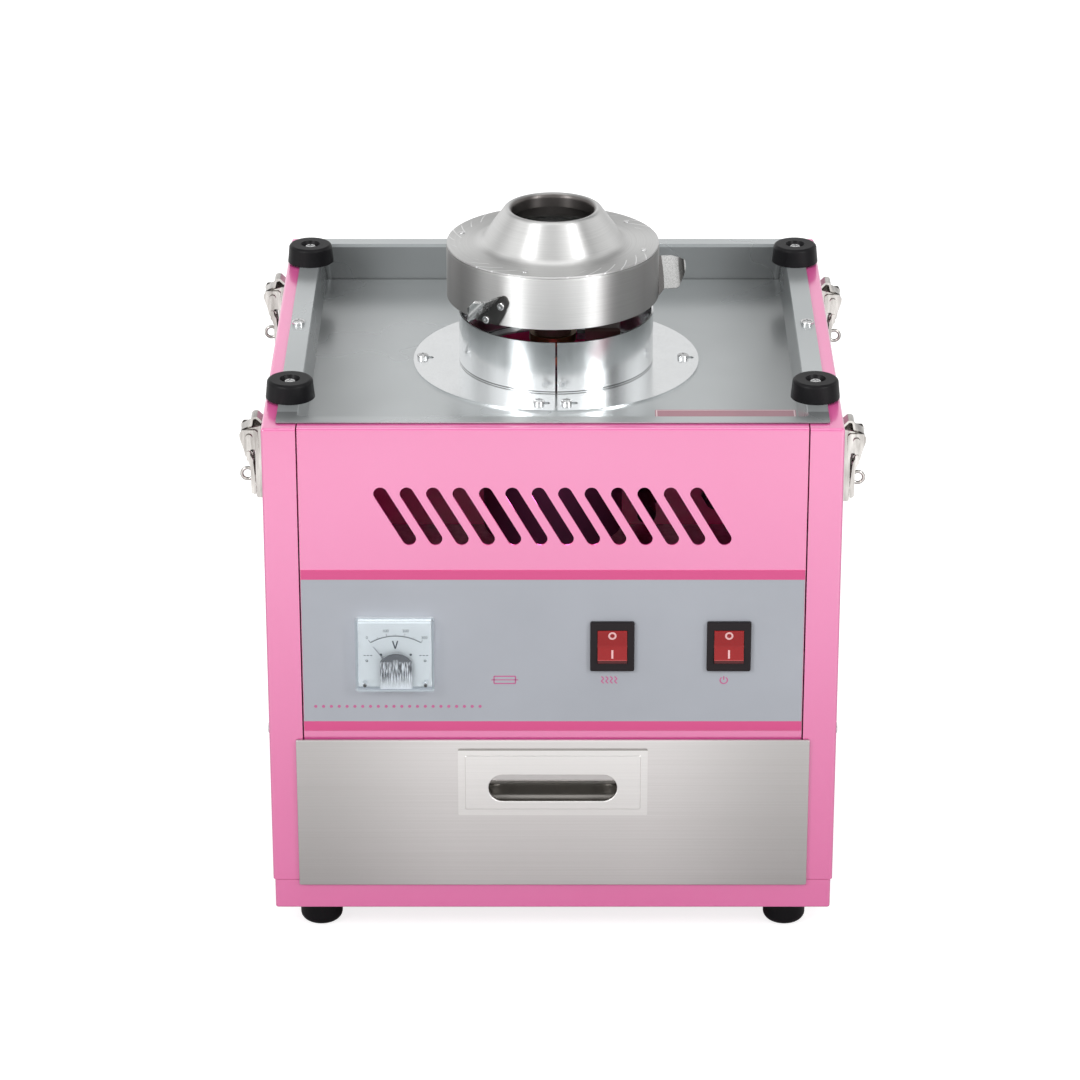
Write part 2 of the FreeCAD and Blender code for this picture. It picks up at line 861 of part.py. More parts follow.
def machine_screws():
    screw = pan_head_screw(screw_length)
    rim_screw = pan_head_screw(screw_length, rim_head_radius)
    solids = []
    for side in (-1, 1):
        solids.append(aimed(rim_screw, Vector(side * rim_screw_x, rim_screw_y, rim_top_z), Z_AXIS))
        for y in runner_screw_ys():
            solids.append(aimed(screw, Vector(side * half, y, runner_screw_z()), X_AXIS * side))
    for x, y in collar_screw_spots():
        solids.append(aimed(screw, Vector(x, spin_y + y, tray_floor_z + collar_sheet), Z_AXIS))
    for x, z in back_screw_spots():
        solids.append(aimed(screw, Vector(x, back_y, z), Y_AXIS))
    for x, y in housing_screw_spots():
        solids.append(aimed(screw, Vector(x, spin_y + y, plate_top_z), Z_AXIS))
    return Part.makeCompound(solids)


# ---------------------------------------------------------------- collar
def collar_half(side):
    flange = tube(collar_flange_radius, collar_radius - collar_sheet, collar_shift, spin_y, tray_floor_z, collar_sheet)
    wall = tube(collar_radius, collar_radius - collar_sheet, collar_shift, spin_y, tray_floor_z, collar_height)
    ring = joined([flange, wall])
    reach = collar_flange_radius + 1
    seam_x = collar_shift + side * collar_seam / 2
    x0, x1 = sorted((seam_x, collar_shift - side * reach))
    cuts = [block(x0, x1, spin_y - reach, spin_y + reach, tray_floor_z - 1, collar_top_z + 1)]
    for x, y in collar_screw_spots():
        slot_x = x + collar_shift
        cuts.append(collar_slot(slot_x, spin_y + y))
    return without(ring, cuts)


def collar_slot(x, y):
    run = (collar_slot_length - collar_slot_width) / 2
    low = tray_floor_z - 1
    tall = collar_sheet + 2
    middle = block(x - run, x + run, y - collar_slot_width / 2, y + collar_slot_width / 2, low, low + tall)
    ends = [rod(collar_slot_width / 2, x + end * run, y, low, tall) for end in (-1, 1)]
    return joined([middle] + ends)


def left_collar():
    return collar_half(-1)


def right_collar():
    return collar_half(1)


# ---------------------------------------------------------------- motor
def corner_spots(distance):
    return [(x, y) for x in (-distance, distance) for y in (-distance, distance)]


def motor_plate():
    edge = motor_plate_size / 2
    plate = block(-edge, edge, spin_y - edge, spin_y + edge, plate_z, plate_top_z)
    plate = rounded_edges(plate, motor_plate_corner, lambda line: runs_along(line, Z_AXIS))
    cuts = [rod(boss_radius + fit_gap, 0, spin_y, plate_z - 1, motor_plate_thickness + 2)]
    for x, y in corner_spots(bush_spacing):
        cuts.append(rod(stud_radius + screw_clearance, x, spin_y + y, plate_z - 1, motor_plate_thickness + 2))
    for x, y in housing_screw_spots():
        cuts.append(rod(screw_hole, x, spin_y + y, plate_z - 1, motor_plate_thickness + 2))
    return without(plate, cuts)


def motor_bushes():
    bush = tube(bush_radius, stud_radius + screw_clearance, 0, 0, plate_top_z, bush_height)
    return Part.makeCompound([moved(bush, x, spin_y + y, 0) for x, y in corner_spots(bush_spacing)])


def motor_studs():
    stud = rod(stud_radius, 0, 0, bush_top_z - stud_length, stud_length)
    nut = hexagon(stud_radius * 2, 0, 0, plate_z - nut_height * 1.5, nut_height * 1.5)
    screwed = joined([stud, nut])
    return Part.makeCompound([moved(screwed, x, spin_y + y, 0) for x, y in corner_spots(bush_spacing)])


def motor_housing():
    can = rod(housing_radius, 0, spin_y, housing_z, housing_length)
    can = rounded_edges(can, 3.0, lambda edge: edge.CenterOfMass.z > plate_z - 1e-6)
    top_wall = 3.0
    cavity = rod(housing_radius - housing_wall, 0, spin_y, housing_z - 1, housing_length - top_wall + 1)
    boss = rod(boss_radius, 0, spin_y, upper_bearing_z - 2, bearing_length + 2)
    shell = joined([can.cut(cavity), boss])
    cuts = [rod(bearing_radius, 0, spin_y, upper_bearing_z, bearing_length + 1)]
    cuts.append(rod(rotor_shaft_radius + 1, 0, spin_y, upper_bearing_z - 3, 4))
    for x, y in housing_screw_spots():
        cuts.append(rod(screw_radius, x, spin_y + y, plate_z - top_wall - 1, top_wall + 2))
    return without(shell, cuts)


def motor_end_cap():
    disc = rod(housing_radius, 0, spin_y, housing_z - end_cap_thickness, end_cap_thickness)
    spigot = tube(housing_radius - housing_wall, housing_radius - housing_wall - 2, 0, spin_y, housing_z, 5.0)
    boss = rod(boss_radius, 0, spin_y, lower_bearing_z - 2, bearing_length + 2)
    return joined([disc, spigot, boss]).cut(rod(bearing_radius, 0, spin_y, lower_bearing_z, bearing_length + 1))


def motor_bearings():
    bush = tube(bearing_radius, shaft_radius + bearing_gap, 0, spin_y, 0, bearing_length)
    return Part.makeCompound([moved(bush, 0, 0, z) for z in (upper_bearing_z, lower_bearing_z)])


def motor_stator():
    ring = tube(housing_radius - housing_wall, rotor_radius + rotor_air_gap, 0, spin_y, core_z, core_length)
    slot_reach = (housing_radius + rotor_radius) / 2
    slot = block(rotor_radius - 1, slot_reach, spin_y - 1.5, spin_y + 1.5, core_z - 1, core_z + core_length + 1)
    pocket = rod(3.5, slot_reach - 1, spin_y, core_z - 1, core_length + 2)
    cut = joined([slot, pocket])
    return without(ring, [turned(cut, 360 * place / stator_slots) for place in range(stator_slots)])


def motor_rotor():
    return tube(rotor_radius, rotor_shaft_radius, 0, spin_y, core_z, core_length)


def motor_shaft():
    low = lower_bearing_z + 1
    thin = rod(shaft_radius, 0, spin_y, low, shaft_top_z - low)
    thick_low = lower_bearing_z + bearing_length + fit_gap
    thick_top = upper_bearing_z - fit_gap
    return joined([thin, rod(rotor_shaft_radius, 0, spin_y, thick_low, thick_top - thick_low)])


# ---------------------------------------------------------------- current supply to the heater
def slip_ring_drum():
    return tube(drum_radius, shaft_radius, 0, spin_y, drum_z, drum_length)


def ring_levels():
    return (first_ring_z, first_ring_z + ring_pitch)


def slip_rings():
    return Part.makeCompound([tube(ring_radius, drum_radius, 0, spin_y, z, ring_height) for z in ring_levels()])


def brush_blocks():
    start = ring_radius + brush_gap
    blocks = []
    for z in ring_levels():
        low = z + (ring_height - brush_height) / 2
        wide = brush_width / 2
        blocks.append(block(start, start + brush_length, spin_y - wide, spin_y + wide, low, low + brush_height))
    return blocks


def brush_holder():
    start = ring_radius + brush_gap + brush_length - 10.0
    top = first_ring_z + ring_pitch + ring_height + 4.0
    wide = holder_width / 2
    body = block(start, start + holder_depth, spin_y - wide, spin_y + wide, plate_top_z, top)
    body = rounded_edges(body, 1.5, lambda edge: edge.CenterOfMass.z > top - 1e-6)
    return without(body, brush_blocks())


def carbon_brushes():
    return Part.makeCompound(brush_blocks())


# ---------------------------------------------------------------- spinner head
def head_hub():
    barrel = rod(hub_radius, 0, spin_y, hub_z, hub_length)
    flange = rod(hub_flange_radius, 0, spin_y, hub_z + hub_length, hub_flange_height)
    neck = rod(hub_neck_radius, 0, spin_y, head_floor_z, band_sheet + cup_sheet)
    bore = rod(shaft_radius, 0, spin_y, hub_z - 1, hub_length + hub_flange_height + 10)
    hub = joined([barrel, flange, neck]).cut(bore)
    nut = hexagon(hub_nut_radius, 0, spin_y, cup_z + cup_sheet, hub_nut_height)
    nut = nut.cut(rod(shaft_radius, 0, spin_y, cup_z, 10))
    return Part.makeCompound([hub, nut])


def head_base():
    outer = band_radius - band_sheet
    profile = [(outer, head_floor_z + base_wall), (outer, head_floor_z), (hub_neck_radius, head_floor_z)]
    floor = spun(sheet_face(mirror_path(profile), [0, band_corner, 0], band_sheet))
    cuts = []
    for place in range(2 * insulator_count):
        hole = rod(3.0, (cup_floor_radius + heater_radius) / 2, spin_y, head_floor_z - 1, band_sheet + 2)
        cuts.append(turned(hole, 360 * (place + 0.5) / (2 * insulator_count)))
    cuts.extend(rivet_holes())
    return without(floor, cuts)


def mirror_path(pairs):
    # The same path walked the other way, so that the sheet lies on its other side.
    return list(reversed(pairs))


def head_band():
    inner = band_radius - band_flange
    profile = [(inner, band_top_z), (band_radius, band_top_z), (band_radius, band_z)]
    band = spun(sheet_face(mirror_path(profile), [0, band_corner, 0], band_sheet))
    return without(band, rivet_holes() + cover_rivet_holes())


def head_cover():
    low = band_top_z + cover_sheet
    top = low + cone_rise
    profile = [
        (band_radius - 0.3, low),
        (cone_base_radius, low),
        (lip_radius, top),
        (hole_radius, top),
        (hole_radius, top - hole_neck),
    ]
    cover = spun(sheet_face(profile, [0, 8.0, 3.0, 2.6, 0], cover_sheet))
    return without(cover, cover_rivet_holes())


def sugar_cup():
    profile = [(cup_radius, cup_z + cup_height), (cup_floor_radius, cup_z), (hub_neck_radius, cup_z)]
    return spun(sheet_face(mirror_path(profile), [0, 4.0, 0], cup_sheet))


def heater_levels():
    first = cup_z + heater_wire_radius + 4.0
    return [first + turn * heater_pitch for turn in range(heater_turns)]


def heater_rings():
    turns = []
    for z in heater_levels():
        turns.append(Part.makeTorus(heater_radius, heater_wire_radius, Vector(0, spin_y, z), Z_AXIS))
    return turns


def heater_ring():
    return Part.makeCompound(heater_rings())


def heater_insulators():
    top = heater_levels()[-1] + heater_wire_radius + 2.0
    wide = insulator_width / 2
    post = block(insulator_inner, insulator_outer, spin_y - wide, spin_y + wide, cup_z, top)
    post = without(post, heater_rings())
    return Part.makeCompound([turned(post, 360 * place / insulator_count) for place in range(insulator_count)])


# ---------------------------------------------------------------- vanes and rivets
def on_band(angle, z, radius=band_radius):
    turn = math.radians(angle)
    return Vector(radius * math.cos(turn), spin_y + radius * math.sin(turn), z)


def cover_rivet_spots():
    return [on_band(angle, band_top_z, band_radius - cover_rivet_inset) for angle in cover_rivet_angles]


def rivet_holes():
    cuts = []
    for start, bend in vane_places:
        for sweep, rise in pop_rivet_places:
            hole = rod(pop_rivet_radius, band_radius - 4, spin_y, band_z + rise, 8, X_AXIS)
            cuts.append(turned(hole, start + sweep))
    return cuts


def cover_rivet_holes():
    return [rod(cover_rivet_radius, spot.x, spot.y, band_top_z - 3, 6) for spot in cover_rivet_spots()]


def fold_run():
    return math.radians(vane_sweep) * band_radius


def vane_tab():
    # The part of the vane that is riveted flat on the band, under its slanting fold line.
    low_z = band_z - vane_hang
    top_z = low_z + vane_rise
    across = fold_run()
    corners = [
        (0.0, low_z),
        (across + 0.9, top_z + 0.9),
        (across + vane_tab_overhang, top_z - 4.3),
        (across + 0.4, top_z - 13.3),
        (across - 3.6, low_z),
    ]
    shift = across / 2
    face = loop_face([Vector(band_radius - 12, s - shift, z) for s, z in corners], [0, 2.5, 3.0, 6.0, 0])
    prism = face.extrude(Vector(24, 0, 0))
    prism.translate(SPIN_AXIS)
    shell = tube(band_radius + vane_sheet, band_radius, 0, spin_y, band_z, band_height)
    return shell.common(prism)


def vane_blade(bend):
    # The part that stands out from the fold: flat first, then curled over at its tip.
    across = fold_run()
    run = math.hypot(across, vane_rise)
    sink = band_radius * (1 - math.cos(math.radians(vane_sweep / 2)))
    turn = math.radians(vane_curl_angle)
    corner = vane_flat + vane_curl_radius * math.tan(turn / 2)
    tail = vane_curl_radius * math.tan(turn / 2) + 0.5
    low = -vane_sheet / 2
    path = [(-sink, low), (corner, low), (corner + tail * math.cos(turn), low + tail * math.sin(turn))]
    curled = sheet_face(path, [0, vane_curl_radius, 0], vane_sheet, 0).extrude(Vector(0, run, 0))
    peak = run - vane_tip_drop
    outline = [
        (-sink, 0.0),
        (3.0, 4.2),
        (vane_reach - 6.0, 4.4),
        (vane_reach - 2.4, 11.0),
        (vane_reach, 19.0),
        (vane_reach - 3.9, peak - 1.8),
        (vane_reach - 8.4, peak),
        (-sink, peak),
    ]
    trim = loop_face(in_xy(outline, -2.0), [0, 1.5, 2.0, 6.0, 4.0, 4.0, 4.0, 0]).extrude(Vector(0, 0, 12.0))
    blade = curled.common(trim)
    blade.rotate(Vector(0, 0, 0), Y_AXIS, -bend)
    blade.translate(Vector(band_radius, 0, 0))
    lean = math.degrees(math.atan2(vane_rise, across))
    blade.rotate(Vector(0, 0, 0), X_AXIS, lean)
    blade.translate(Vector(0, spin_y - across / 2, band_z - vane_hang))
    return blade.cut(rod(band_radius, 0, spin_y, band_z - 20, band_height + 40))


def wind_vanes():
    vanes = []
    for start, bend in vane_places:
        whole = joined([vane_tab(), vane_blade(bend)])
        vanes.append(without(turned(whole, start + vane_sweep / 2), rivet_holes()))
    return Part.makeCompound(vanes)


def domed_head(radius, height):
    head = rod(radius, 0, 0, 0, height)
    return rounded_edges(head, height * 0.7, lambda edge: edge.CenterOfMass.z > height - 1e-6)


def pop_rivet():
    # A hollow rivet: the broken mandrel leaves a small pit in its head.
    length = vane_sheet + 2 * band_sheet
    solid = joined([domed_head(pop_head_radius, pop_head_height), rod(pop_rivet_radius, 0, 0, -length, length)])
    return solid.cut(rod(pop_hollow_radius, 0, 0, pop_head_height - 0.7, 1.0))


def cover_rivet():
    length = cover_sheet + band_sheet
    shank = rod(cover_rivet_radius, 0, 0, -length, length)
    return joined([domed_head(cover_head_radius, cover_head_height), shank])


def head_rivets():
    solids = []
    for start, bend in vane_places:
        for sweep, rise in pop_rivet_places:
            angle = start + sweep
            spot = on_band(angle, band_z + rise, band_radius + vane_sheet)
            solids.append(aimed(pop_rivet(), spot, on_band(angle, 0, 1) - SPIN_AXIS))
    for spot in cover_rivet_spots():
        solids.append(moved(cover_rivet(), spot.x, spot.y, band_top_z + cover_sheet))
    return Part.makeCompound(solids)


# ---------------------------------------------------------------- voltmeter
def meter_square(inset, y0, y1, radius=1.2):
    edge = meter_size / 2 - inset
    return rounded_plate_y(meter_x - edge, meter_x + edge, meter_z - edge, meter_z + edge, radius, y0, y1)


def meter_screw_xs():
    reach = meter_size / 2 - meter_screw_inset
    return (meter_x - reach, meter_x + reach)


def meter_screw_z():
    return meter_z - meter_size / 2 + meter_screw_inset - 1.0


def needle_pivot_y():
    return meter_face_y - meter_dial_thickness - 1.2


def voltmeter_body():
    flange = meter_square(0, meter_face_y, overlay_y)
    barrel = rod(meter_barrel_radius, meter_x, overlay_y, meter_z, meter_barrel_depth, Y_AXIS)
    studs = []
    front = meter_face_y - meter_cover_depth
    for x in meter_screw_xs():
        studs.append(rod(meter_screw_radius, x, front, meter_screw_z(), meter_cover_depth, Y_AXIS))
    for x in (meter_x - 8, meter_x + 8):
        studs.append(rod(2.0, x, overlay_y + meter_barrel_depth, meter_z, 9.0, Y_AXIS))
    pin_y = needle_pivot_y() - 0.6
    studs.append(rod(needle_axle_radius, meter_x, pin_y, needle_z, meter_face_y - pin_y, Y_AXIS))
    return joined([flange, barrel] + studs)


def voltmeter_dial():
    dial = meter_square(meter_cover_wall + fit_gap, meter_face_y - meter_dial_thickness, meter_face_y, 0.8)
    cuts = [rod(needle_axle_radius + 0.4, meter_x, meter_face_y - 3, needle_z, 6, Y_AXIS)]
    for x in meter_screw_xs():
        cuts.append(rod(meter_screw_radius + fit_gap, x, meter_face_y - 3, meter_screw_z(), 6, Y_AXIS))
    return without(dial, cuts)


def voltmeter_needle():
    # Drawn pointing straight up, then turned to the zero end of the scale.
    y = needle_pivot_y()
    wide = needle_width / 2
    pointer = block(meter_x - wide, meter_x + wide, y, y + needle_thickness, needle_z, needle_z + needle_length)
    tail = block(meter_x - 4 * wide, meter_x + 4 * wide, y, y + needle_thickness, needle_z - needle_tail, needle_z)
    hub = rod(needle_hub_radius, meter_x, y, needle_z, needle_thickness * 2, Y_AXIS)
    needle = joined([pointer, tail, hub])
    needle = needle.cut(rod(needle_axle_radius + running_gap, meter_x, y - 1, needle_z, 4, Y_AXIS))
    return turned(needle, -needle_rest_angle, Vector(meter_x, 0, needle_z), Y_AXIS)


def voltmeter_cover():
    front = meter_face_y - meter_cover_depth
    shell = meter_square(0, front, meter_face_y)
    shell = rounded_edges(shell, 1.0, lambda edge: abs(edge.CenterOfMass.y - front) < 1e-6)
    hollow = meter_square(meter_cover_wall, front + meter_cover_wall, meter_face_y + 1, 0.6)
    cuts = [hollow]
    for x in meter_screw_xs():
        cuts.append(rod(meter_screw_radius + running_gap, x, front - 1, meter_screw_z(), 6, Y_AXIS))
    return without(shell, cuts)


# ---------------------------------------------------------------- rocker switches
def switch_body(x):
    wide = bezel_width / 2
    tall = bezel_height / 2
    bezel = rounded_plate_y(x - wide, x + wide, switch_z - tall, switch_z + tall, 1.0, bezel_y, overlay_y)
    bezel = rounded_edges(bezel, 0.7, lambda edge: abs(edge.CenterOfMass.y - bezel_y) < 1e-6)
    body_wide = switch_body_width / 2
    body_tall = switch_body_height / 2
    back = overlay_y + switch_body_depth
    shell = block(x - body_wide, x + body_wide, overlay_y, back, switch_z - body_tall, switch_z + body_tall)
    shell = joined([bezel, shell])
    open_wide = rocker_width / 2 + rocker_gap
    open_tall = rocker_height / 2 + rocker_gap + 0.2
    cavity_back = rocker_y + 9.0
    cavity = block(x - open_wide, x + open_wide, bezel_y - 1, cavity_back, switch_z - open_tall, switch_z + open_tall)
    pin_reach = rocker_width / 2 + rocker_pin_length + fit_gap
    pivot = rod(rocker_pin_radius + running_gap, x - pin_reach, rocker_y, switch_z, 2 * pin_reach, X_AXIS)
    tabs = []
    for dz in (-8.0, 0.0, 8.0):
        tabs.append(block(x - 2.4, x + 2.4, back, back + 8.0, switch_z + dz - 0.4, switch_z + dz + 0.4))
    return joined([without(shell, [cavity, pivot])] + tabs)


def switch_bodies():
    return Part.makeCompound([switch_body(x) for x in switch_x])


def rocker(x):
    # A shallow V across the face; drawn level, then tilted with its top pressed in.
    tall = rocker_height / 2
    edge_y = bezel_y - rocker_edge_reach
    valley_y = bezel_y - rocker_valley_reach
    back_y0 = rocker_y + rocker_back_reach
    section = [
        (edge_y, switch_z + tall),
        (valley_y, switch_z),
        (edge_y, switch_z - tall),
        (rocker_y + 1.5, switch_z - tall + 0.6),
        (back_y0, switch_z - 3.0),
        (back_y0, switch_z + 3.0),
        (rocker_y + 1.5, switch_z + tall - 0.6),
    ]
    wide = rocker_width / 2
    face = loop_face(in_yz(section, x - wide), [0.8, 6.0, 0.8, 1.0, 1.0, 1.0, 1.0])
    body = face.extrude(Vector(rocker_width, 0, 0))
    pin = wide + rocker_pin_length
    body = joined([body, rod(rocker_pin_radius, x - pin, rocker_y, switch_z, 2 * pin, X_AXIS)])
    return turned(body, -rocker_tilt, Vector(0, rocker_y, switch_z), X_AXIS)


def heat_rocker():
    return rocker(switch_x[0])


def power_rocker():
    return rocker(switch_x[1])


# ---------------------------------------------------------------- back panel fittings
def cable_gland():
    nut = hexagon(gland_body_radius, 0, 0, 0, gland_reach * 0.35)
    dome = Part.makeCone(gland_body_radius * 0.86, gland_bore_radius + 1.6, gland_reach * 0.65)
    dome.translate(Vector(0, 0, gland_reach * 0.35))
    thread = rod(gland_thread_radius, 0, 0, -gland_inside - sheet, gland_inside + sheet)
    lock = hexagon(gland_body_radius, 0, 0, -sheet - 4.0, 4.0)
    gland = joined([nut, dome, thread, lock]).cut(rod(gland_bore_radius, 0, 0, -40, 80))
    return aimed(gland, Vector(gland_x, back_y - sheet, gland_z), Y_AXIS)


def fuse_holder():
    outer_y = back_y - sheet
    barrel = rod(fuse_barrel_radius, fuse_x, outer_y - fuse_barrel_depth, fuse_z, fuse_barrel_depth, Y_AXIS)
    flange = rod(fuse_flange_radius, fuse_x, outer_y, fuse_z, fuse_flange_height, Y_AXIS)
    nut = rod(fuse_flange_radius, fuse_x, back_panel_y - 3.0, fuse_z, 3.0, Y_AXIS)
    depth = fuse_barrel_depth - 3.0
    bore = rod(fuse_bore_radius, fuse_x, outer_y - depth, fuse_z, depth + 10, Y_AXIS)
    return joined([barrel, flange, nut]).cut(bore)


def fuse_seat_y():
    return back_y - sheet + fuse_flange_height + fit_gap


def fuse_cap():
    seat = fuse_seat_y()
    head = rod(fuse_cap_radius, fuse_x, seat, fuse_z, fuse_cap_length, Y_AXIS)
    head = rounded_edges(head, 0.8, lambda edge: abs(edge.CenterOfMass.y - seat - fuse_cap_length) < 1e-6)
    end = seat + fuse_cap_length
    coin_slot = block(fuse_x - 5, fuse_x + 5, end - 1.5, end + 1, fuse_z - 0.7, fuse_z + 0.7)
    neck = rod(fuse_carrier_radius() + running_gap, fuse_x, seat - 1, fuse_z, fuse_neck + 1 + running_gap, Y_AXIS)
    return without(head, [coin_slot, neck])


def fuse_carrier_radius():
    return fuse_bore_radius - fit_gap


def fuse_link():
    # The glass link with its two end caps, and the carrier sleeve that draws it out.
    seat = fuse_seat_y()
    start = seat - fit_gap - fuse_link_length
    link = rod(fuse_link_radius - 0.15, fuse_x, start, fuse_z, fuse_link_length, Y_AXIS)
    caps = [rod(fuse_link_radius, fuse_x, start + place, fuse_z, 5.0, Y_AXIS) for place in (0, fuse_link_length - 5.0)]
    inner = fuse_link_radius + running_gap
    carrier = tube(fuse_carrier_radius(), inner, fuse_x, seat - 8.0, fuse_z, 8.0 + fuse_neck, Y_AXIS)
    return Part.makeCompound([joined([link] + caps), carrier])


# ---------------------------------------------------------------- drawer
def pull_hole(y0, y1, grow=0.0):
    wide = pull_hole_width / 2 + grow
    tall = pull_hole_height / 2 + grow
    z = pull_centre_z - pull_hole_drop
    return rounded_plate_y(-wide, wide, z - tall, z + tall, tall - 0.01, y0, y1)


def pull_pocket(grow):
    # A finger pocket: its brow curves in from the hole's top edge, and it drops behind the lower lip.
    z_top = pull_centre_z - pull_hole_drop + pull_hole_height / 2 + grow
    z_low = z_top - pull_hole_height - pull_pocket_sink - 2 * grow
    wide = pull_hole_width / 2 + grow
    near = drawer_face_y
    far = near + pull_pocket_depth + grow
    prism = rounded_plate_y(-wide, wide, z_low, z_top, pull_pocket_corner + grow, near, far)
    section = [(near, z_top), (near - 1, z_top), (near - 1, z_low), (far, z_low), (far, z_top - pull_brow_foot)]
    section += [(near + depth + grow, z_top - drop) for depth, drop in reversed(pull_brow)]
    bend = pull_brow_bend
    ramp = loop_face(in_yz(section, -wide - 1), [0, 0, 0, bend + grow, bend, bend, bend])
    return prism.common(ramp.extrude(Vector(2 * wide + 2, 0, 0)))


def drawer_pull():
    z0 = pull_centre_z - pull_height / 2
    z1 = pull_centre_z + pull_height / 2
    wide = pull_width / 2
    plate = rounded_plate_y(-wide, wide, z0, z1, 1.0, drawer_face_y - pull_plate, drawer_face_y)
    raised_y = drawer_face_y - pull_plate - pull_raise
    edge = pull_border
    raised = rounded_plate_y(-wide + edge, wide - edge, z0 + edge, z1 - edge, 1.0, raised_y, drawer_face_y)
    raised = raised.makeChamfer(pull_raise * 0.8, [e for e in raised.Edges if abs(e.CenterOfMass.y - raised_y) < 1e-6])
    body = joined([plate, raised, pull_pocket(pull_wall)])
    body = without(body, [pull_pocket(0), pull_hole(raised_y - 1, drawer_face_y)])
    reach = pull_hole_width / 2 + 1
    return rounded_edges(body, pull_lip_rounding, lambda edge: on_lip(edge, raised_y, reach))


def on_lip(edge, y, reach):
    # The front edges round the finger hole.
    box = edge.BoundBox
    return abs(box.YMin - y) < 1e-6 and abs(box.YMax - y) < 1e-6 and max(-box.XMin, box.XMax) < reach


def pull_cutout(y0, y1):
    z_top = pull_centre_z - pull_hole_drop + pull_hole_height / 2 + pull_wall
    z_low = z_top - pull_hole_height - pull_pocket_sink - 2 * pull_wall
    wide = pull_hole_width / 2 + pull_wall + fit_gap
    return block(-wide, wide, y0, y1, z_low - fit_gap, z_top + fit_gap)


def drawer_front():
    wide = drawer_front_half
    low, top = drawer_front_bottom_z, drawer_front_top_z
    plate = rounded_plate_y(-wide, wide, low, top, 1.0, drawer_face_y, drawer_back_y)
    plate = rounded_edges(plate, 0.5, lambda edge: abs(edge.CenterOfMass.y - drawer_face_y) < 1e-6)
    return plate.cut(pull_cutout(drawer_face_y - 1, drawer_back_y + 1))


def drawer_box():
    wide = drawer_half_width
    back = drawer_end_y
    shell = block(-wide, wide, drawer_back_y, back, drawer_floor_z, drawer_top_z)
    shell = rounded_edges(shell, 2.0, lambda edge: runs_along(edge, Y_AXIS) and edge.CenterOfMass.z < drawer_top_z - 1)
    inner = wide - drawer_wall
    hollow = block(
        -inner, inner, drawer_back_y + drawer_wall, back - drawer_wall, drawer_floor_z + drawer_wall, drawer_top_z + 1
    )
    flanges = []
    for side in (-1, 1):
        x0, x1 = sorted((side * inner, side * (wide + drawer_flange)))
        flanges.append(block(x0, x1, drawer_back_y + 2.5, back, drawer_top_z - drawer_wall, drawer_top_z))
    tub = joined([shell.cut(hollow)] + flanges)
    return tub.cut(pull_cutout(drawer_back_y - 1, drawer_back_y + drawer_wall + 1))


def drawer_runner():
    # The right runner: a channel on the side wall whose two ledges hold the drawer's flange.
    outer = half - sheet
    inner = drawer_half_width + fit_gap + 0.5
    start = front_y + sheet + fit_gap
    end = back_y - runner_back_room
    ledge_top = drawer_top_z - drawer_wall - fit_gap
    upper_z = drawer_top_z + fit_gap
    web_low = ledge_top - runner_web_drop
    web = block(outer - sheet, outer, start, end, web_low, shelf_z - fit_gap)
    lower = block(inner, outer, start, end, ledge_top - sheet, ledge_top)
    upper = block(inner, outer, start, end, upper_z, upper_z + sheet)
    runner = joined([web, lower, upper])
    cuts = [rod(screw_radius, outer - sheet - 1, y, runner_screw_z(), sheet + 2, X_AXIS) for y in runner_screw_ys()]
    return without(runner, cuts)


def drawer_runners():
    right = drawer_runner()
    return Part.makeCompound([mirrored(right), right])


# ---------------------------------------------------------------- toggle latches
# A latch is drawn for the right side with its pivot at the origin: x outwards, z up.
def latch_pivot_z(side):
    drop = right_latch_drop if side > 0 else 0.0
    return case_top_z - latch_pivot_drop - drop


def latch_rivet_offsets():
    return ((-6.0, -14.0), (6.0, -14.0), (-6.0, -40.0), (6.0, -40.0))


def latch_placed(shape, side, y):
    placed = moved(shape, half + latch_pivot_out, y, latch_pivot_z(side))
    if side < 0:
        placed = mirrored(placed)
    return placed


def side_prism(pairs, radii, y0, y1):
    return loop_face(in_xz(pairs, y0), radii).extrude(Vector(0, y1 - y0, 0))


def latch_outer_y():
    return ear_inner + ear_sheet + fit_gap + lever_sheet


def latch_channel():
    # A plate on the casing with two ears folded out of it, and the rivets that hold it.
    back = -latch_pivot_out
    plate = block(back, back + latch_plate_sheet, -latch_plate_half, latch_plate_half, -latch_plate_bottom, latch_plate_top)
    plate = rounded_edges(plate, 2.0, lambda edge: runs_along(edge, X_AXIS))
    ear_x = back + ear_edge
    ear_shape = [
        (back, -ear_bottom), (ear_x, -ear_bottom), (ear_x, -8.6), (3.2, -3.2),
        (3.2, 3.2), (-2.5, 5.5), (back, latch_plate_top),
    ]
    pieces = [plate]
    for side in (-1, 1):
        y0, y1 = sorted((side * ear_inner, side * (ear_inner + ear_sheet)))
        pieces.append(side_prism(ear_shape, [0, 1.5, 2.0, 3.0, 3.0, 2.0, 0], y0, y1))
    for dy, dz in latch_rivet_offsets():
        pieces.append(rod(latch_rivet_radius, back - sheet, dy, dz, sheet + latch_plate_sheet, X_AXIS))
        pieces.append(rod(latch_rivet_radius * 1.5, back + latch_plate_sheet, dy, dz, 0.6, X_AXIS))
    channel = joined(pieces)
    stem_hole = rod(eye_wire, back - 1, 0, -eye_drop, latch_plate_sheet + 2, X_AXIS)
    return without(channel, [rod(pivot_radius, 0, -20, 0, 40, Y_AXIS), stem_hole])


def latch_pivot():
    reach = latch_outer_y() + fit_gap
    pieces = [rod(pivot_radius, 0, -reach, 0, 2 * reach, Y_AXIS)]
    for start in (reach, -reach - pivot_head):
        pieces.append(rod(pivot_head_radius, 0, start, 0, pivot_head, Y_AXIS))
    return joined(pieces)


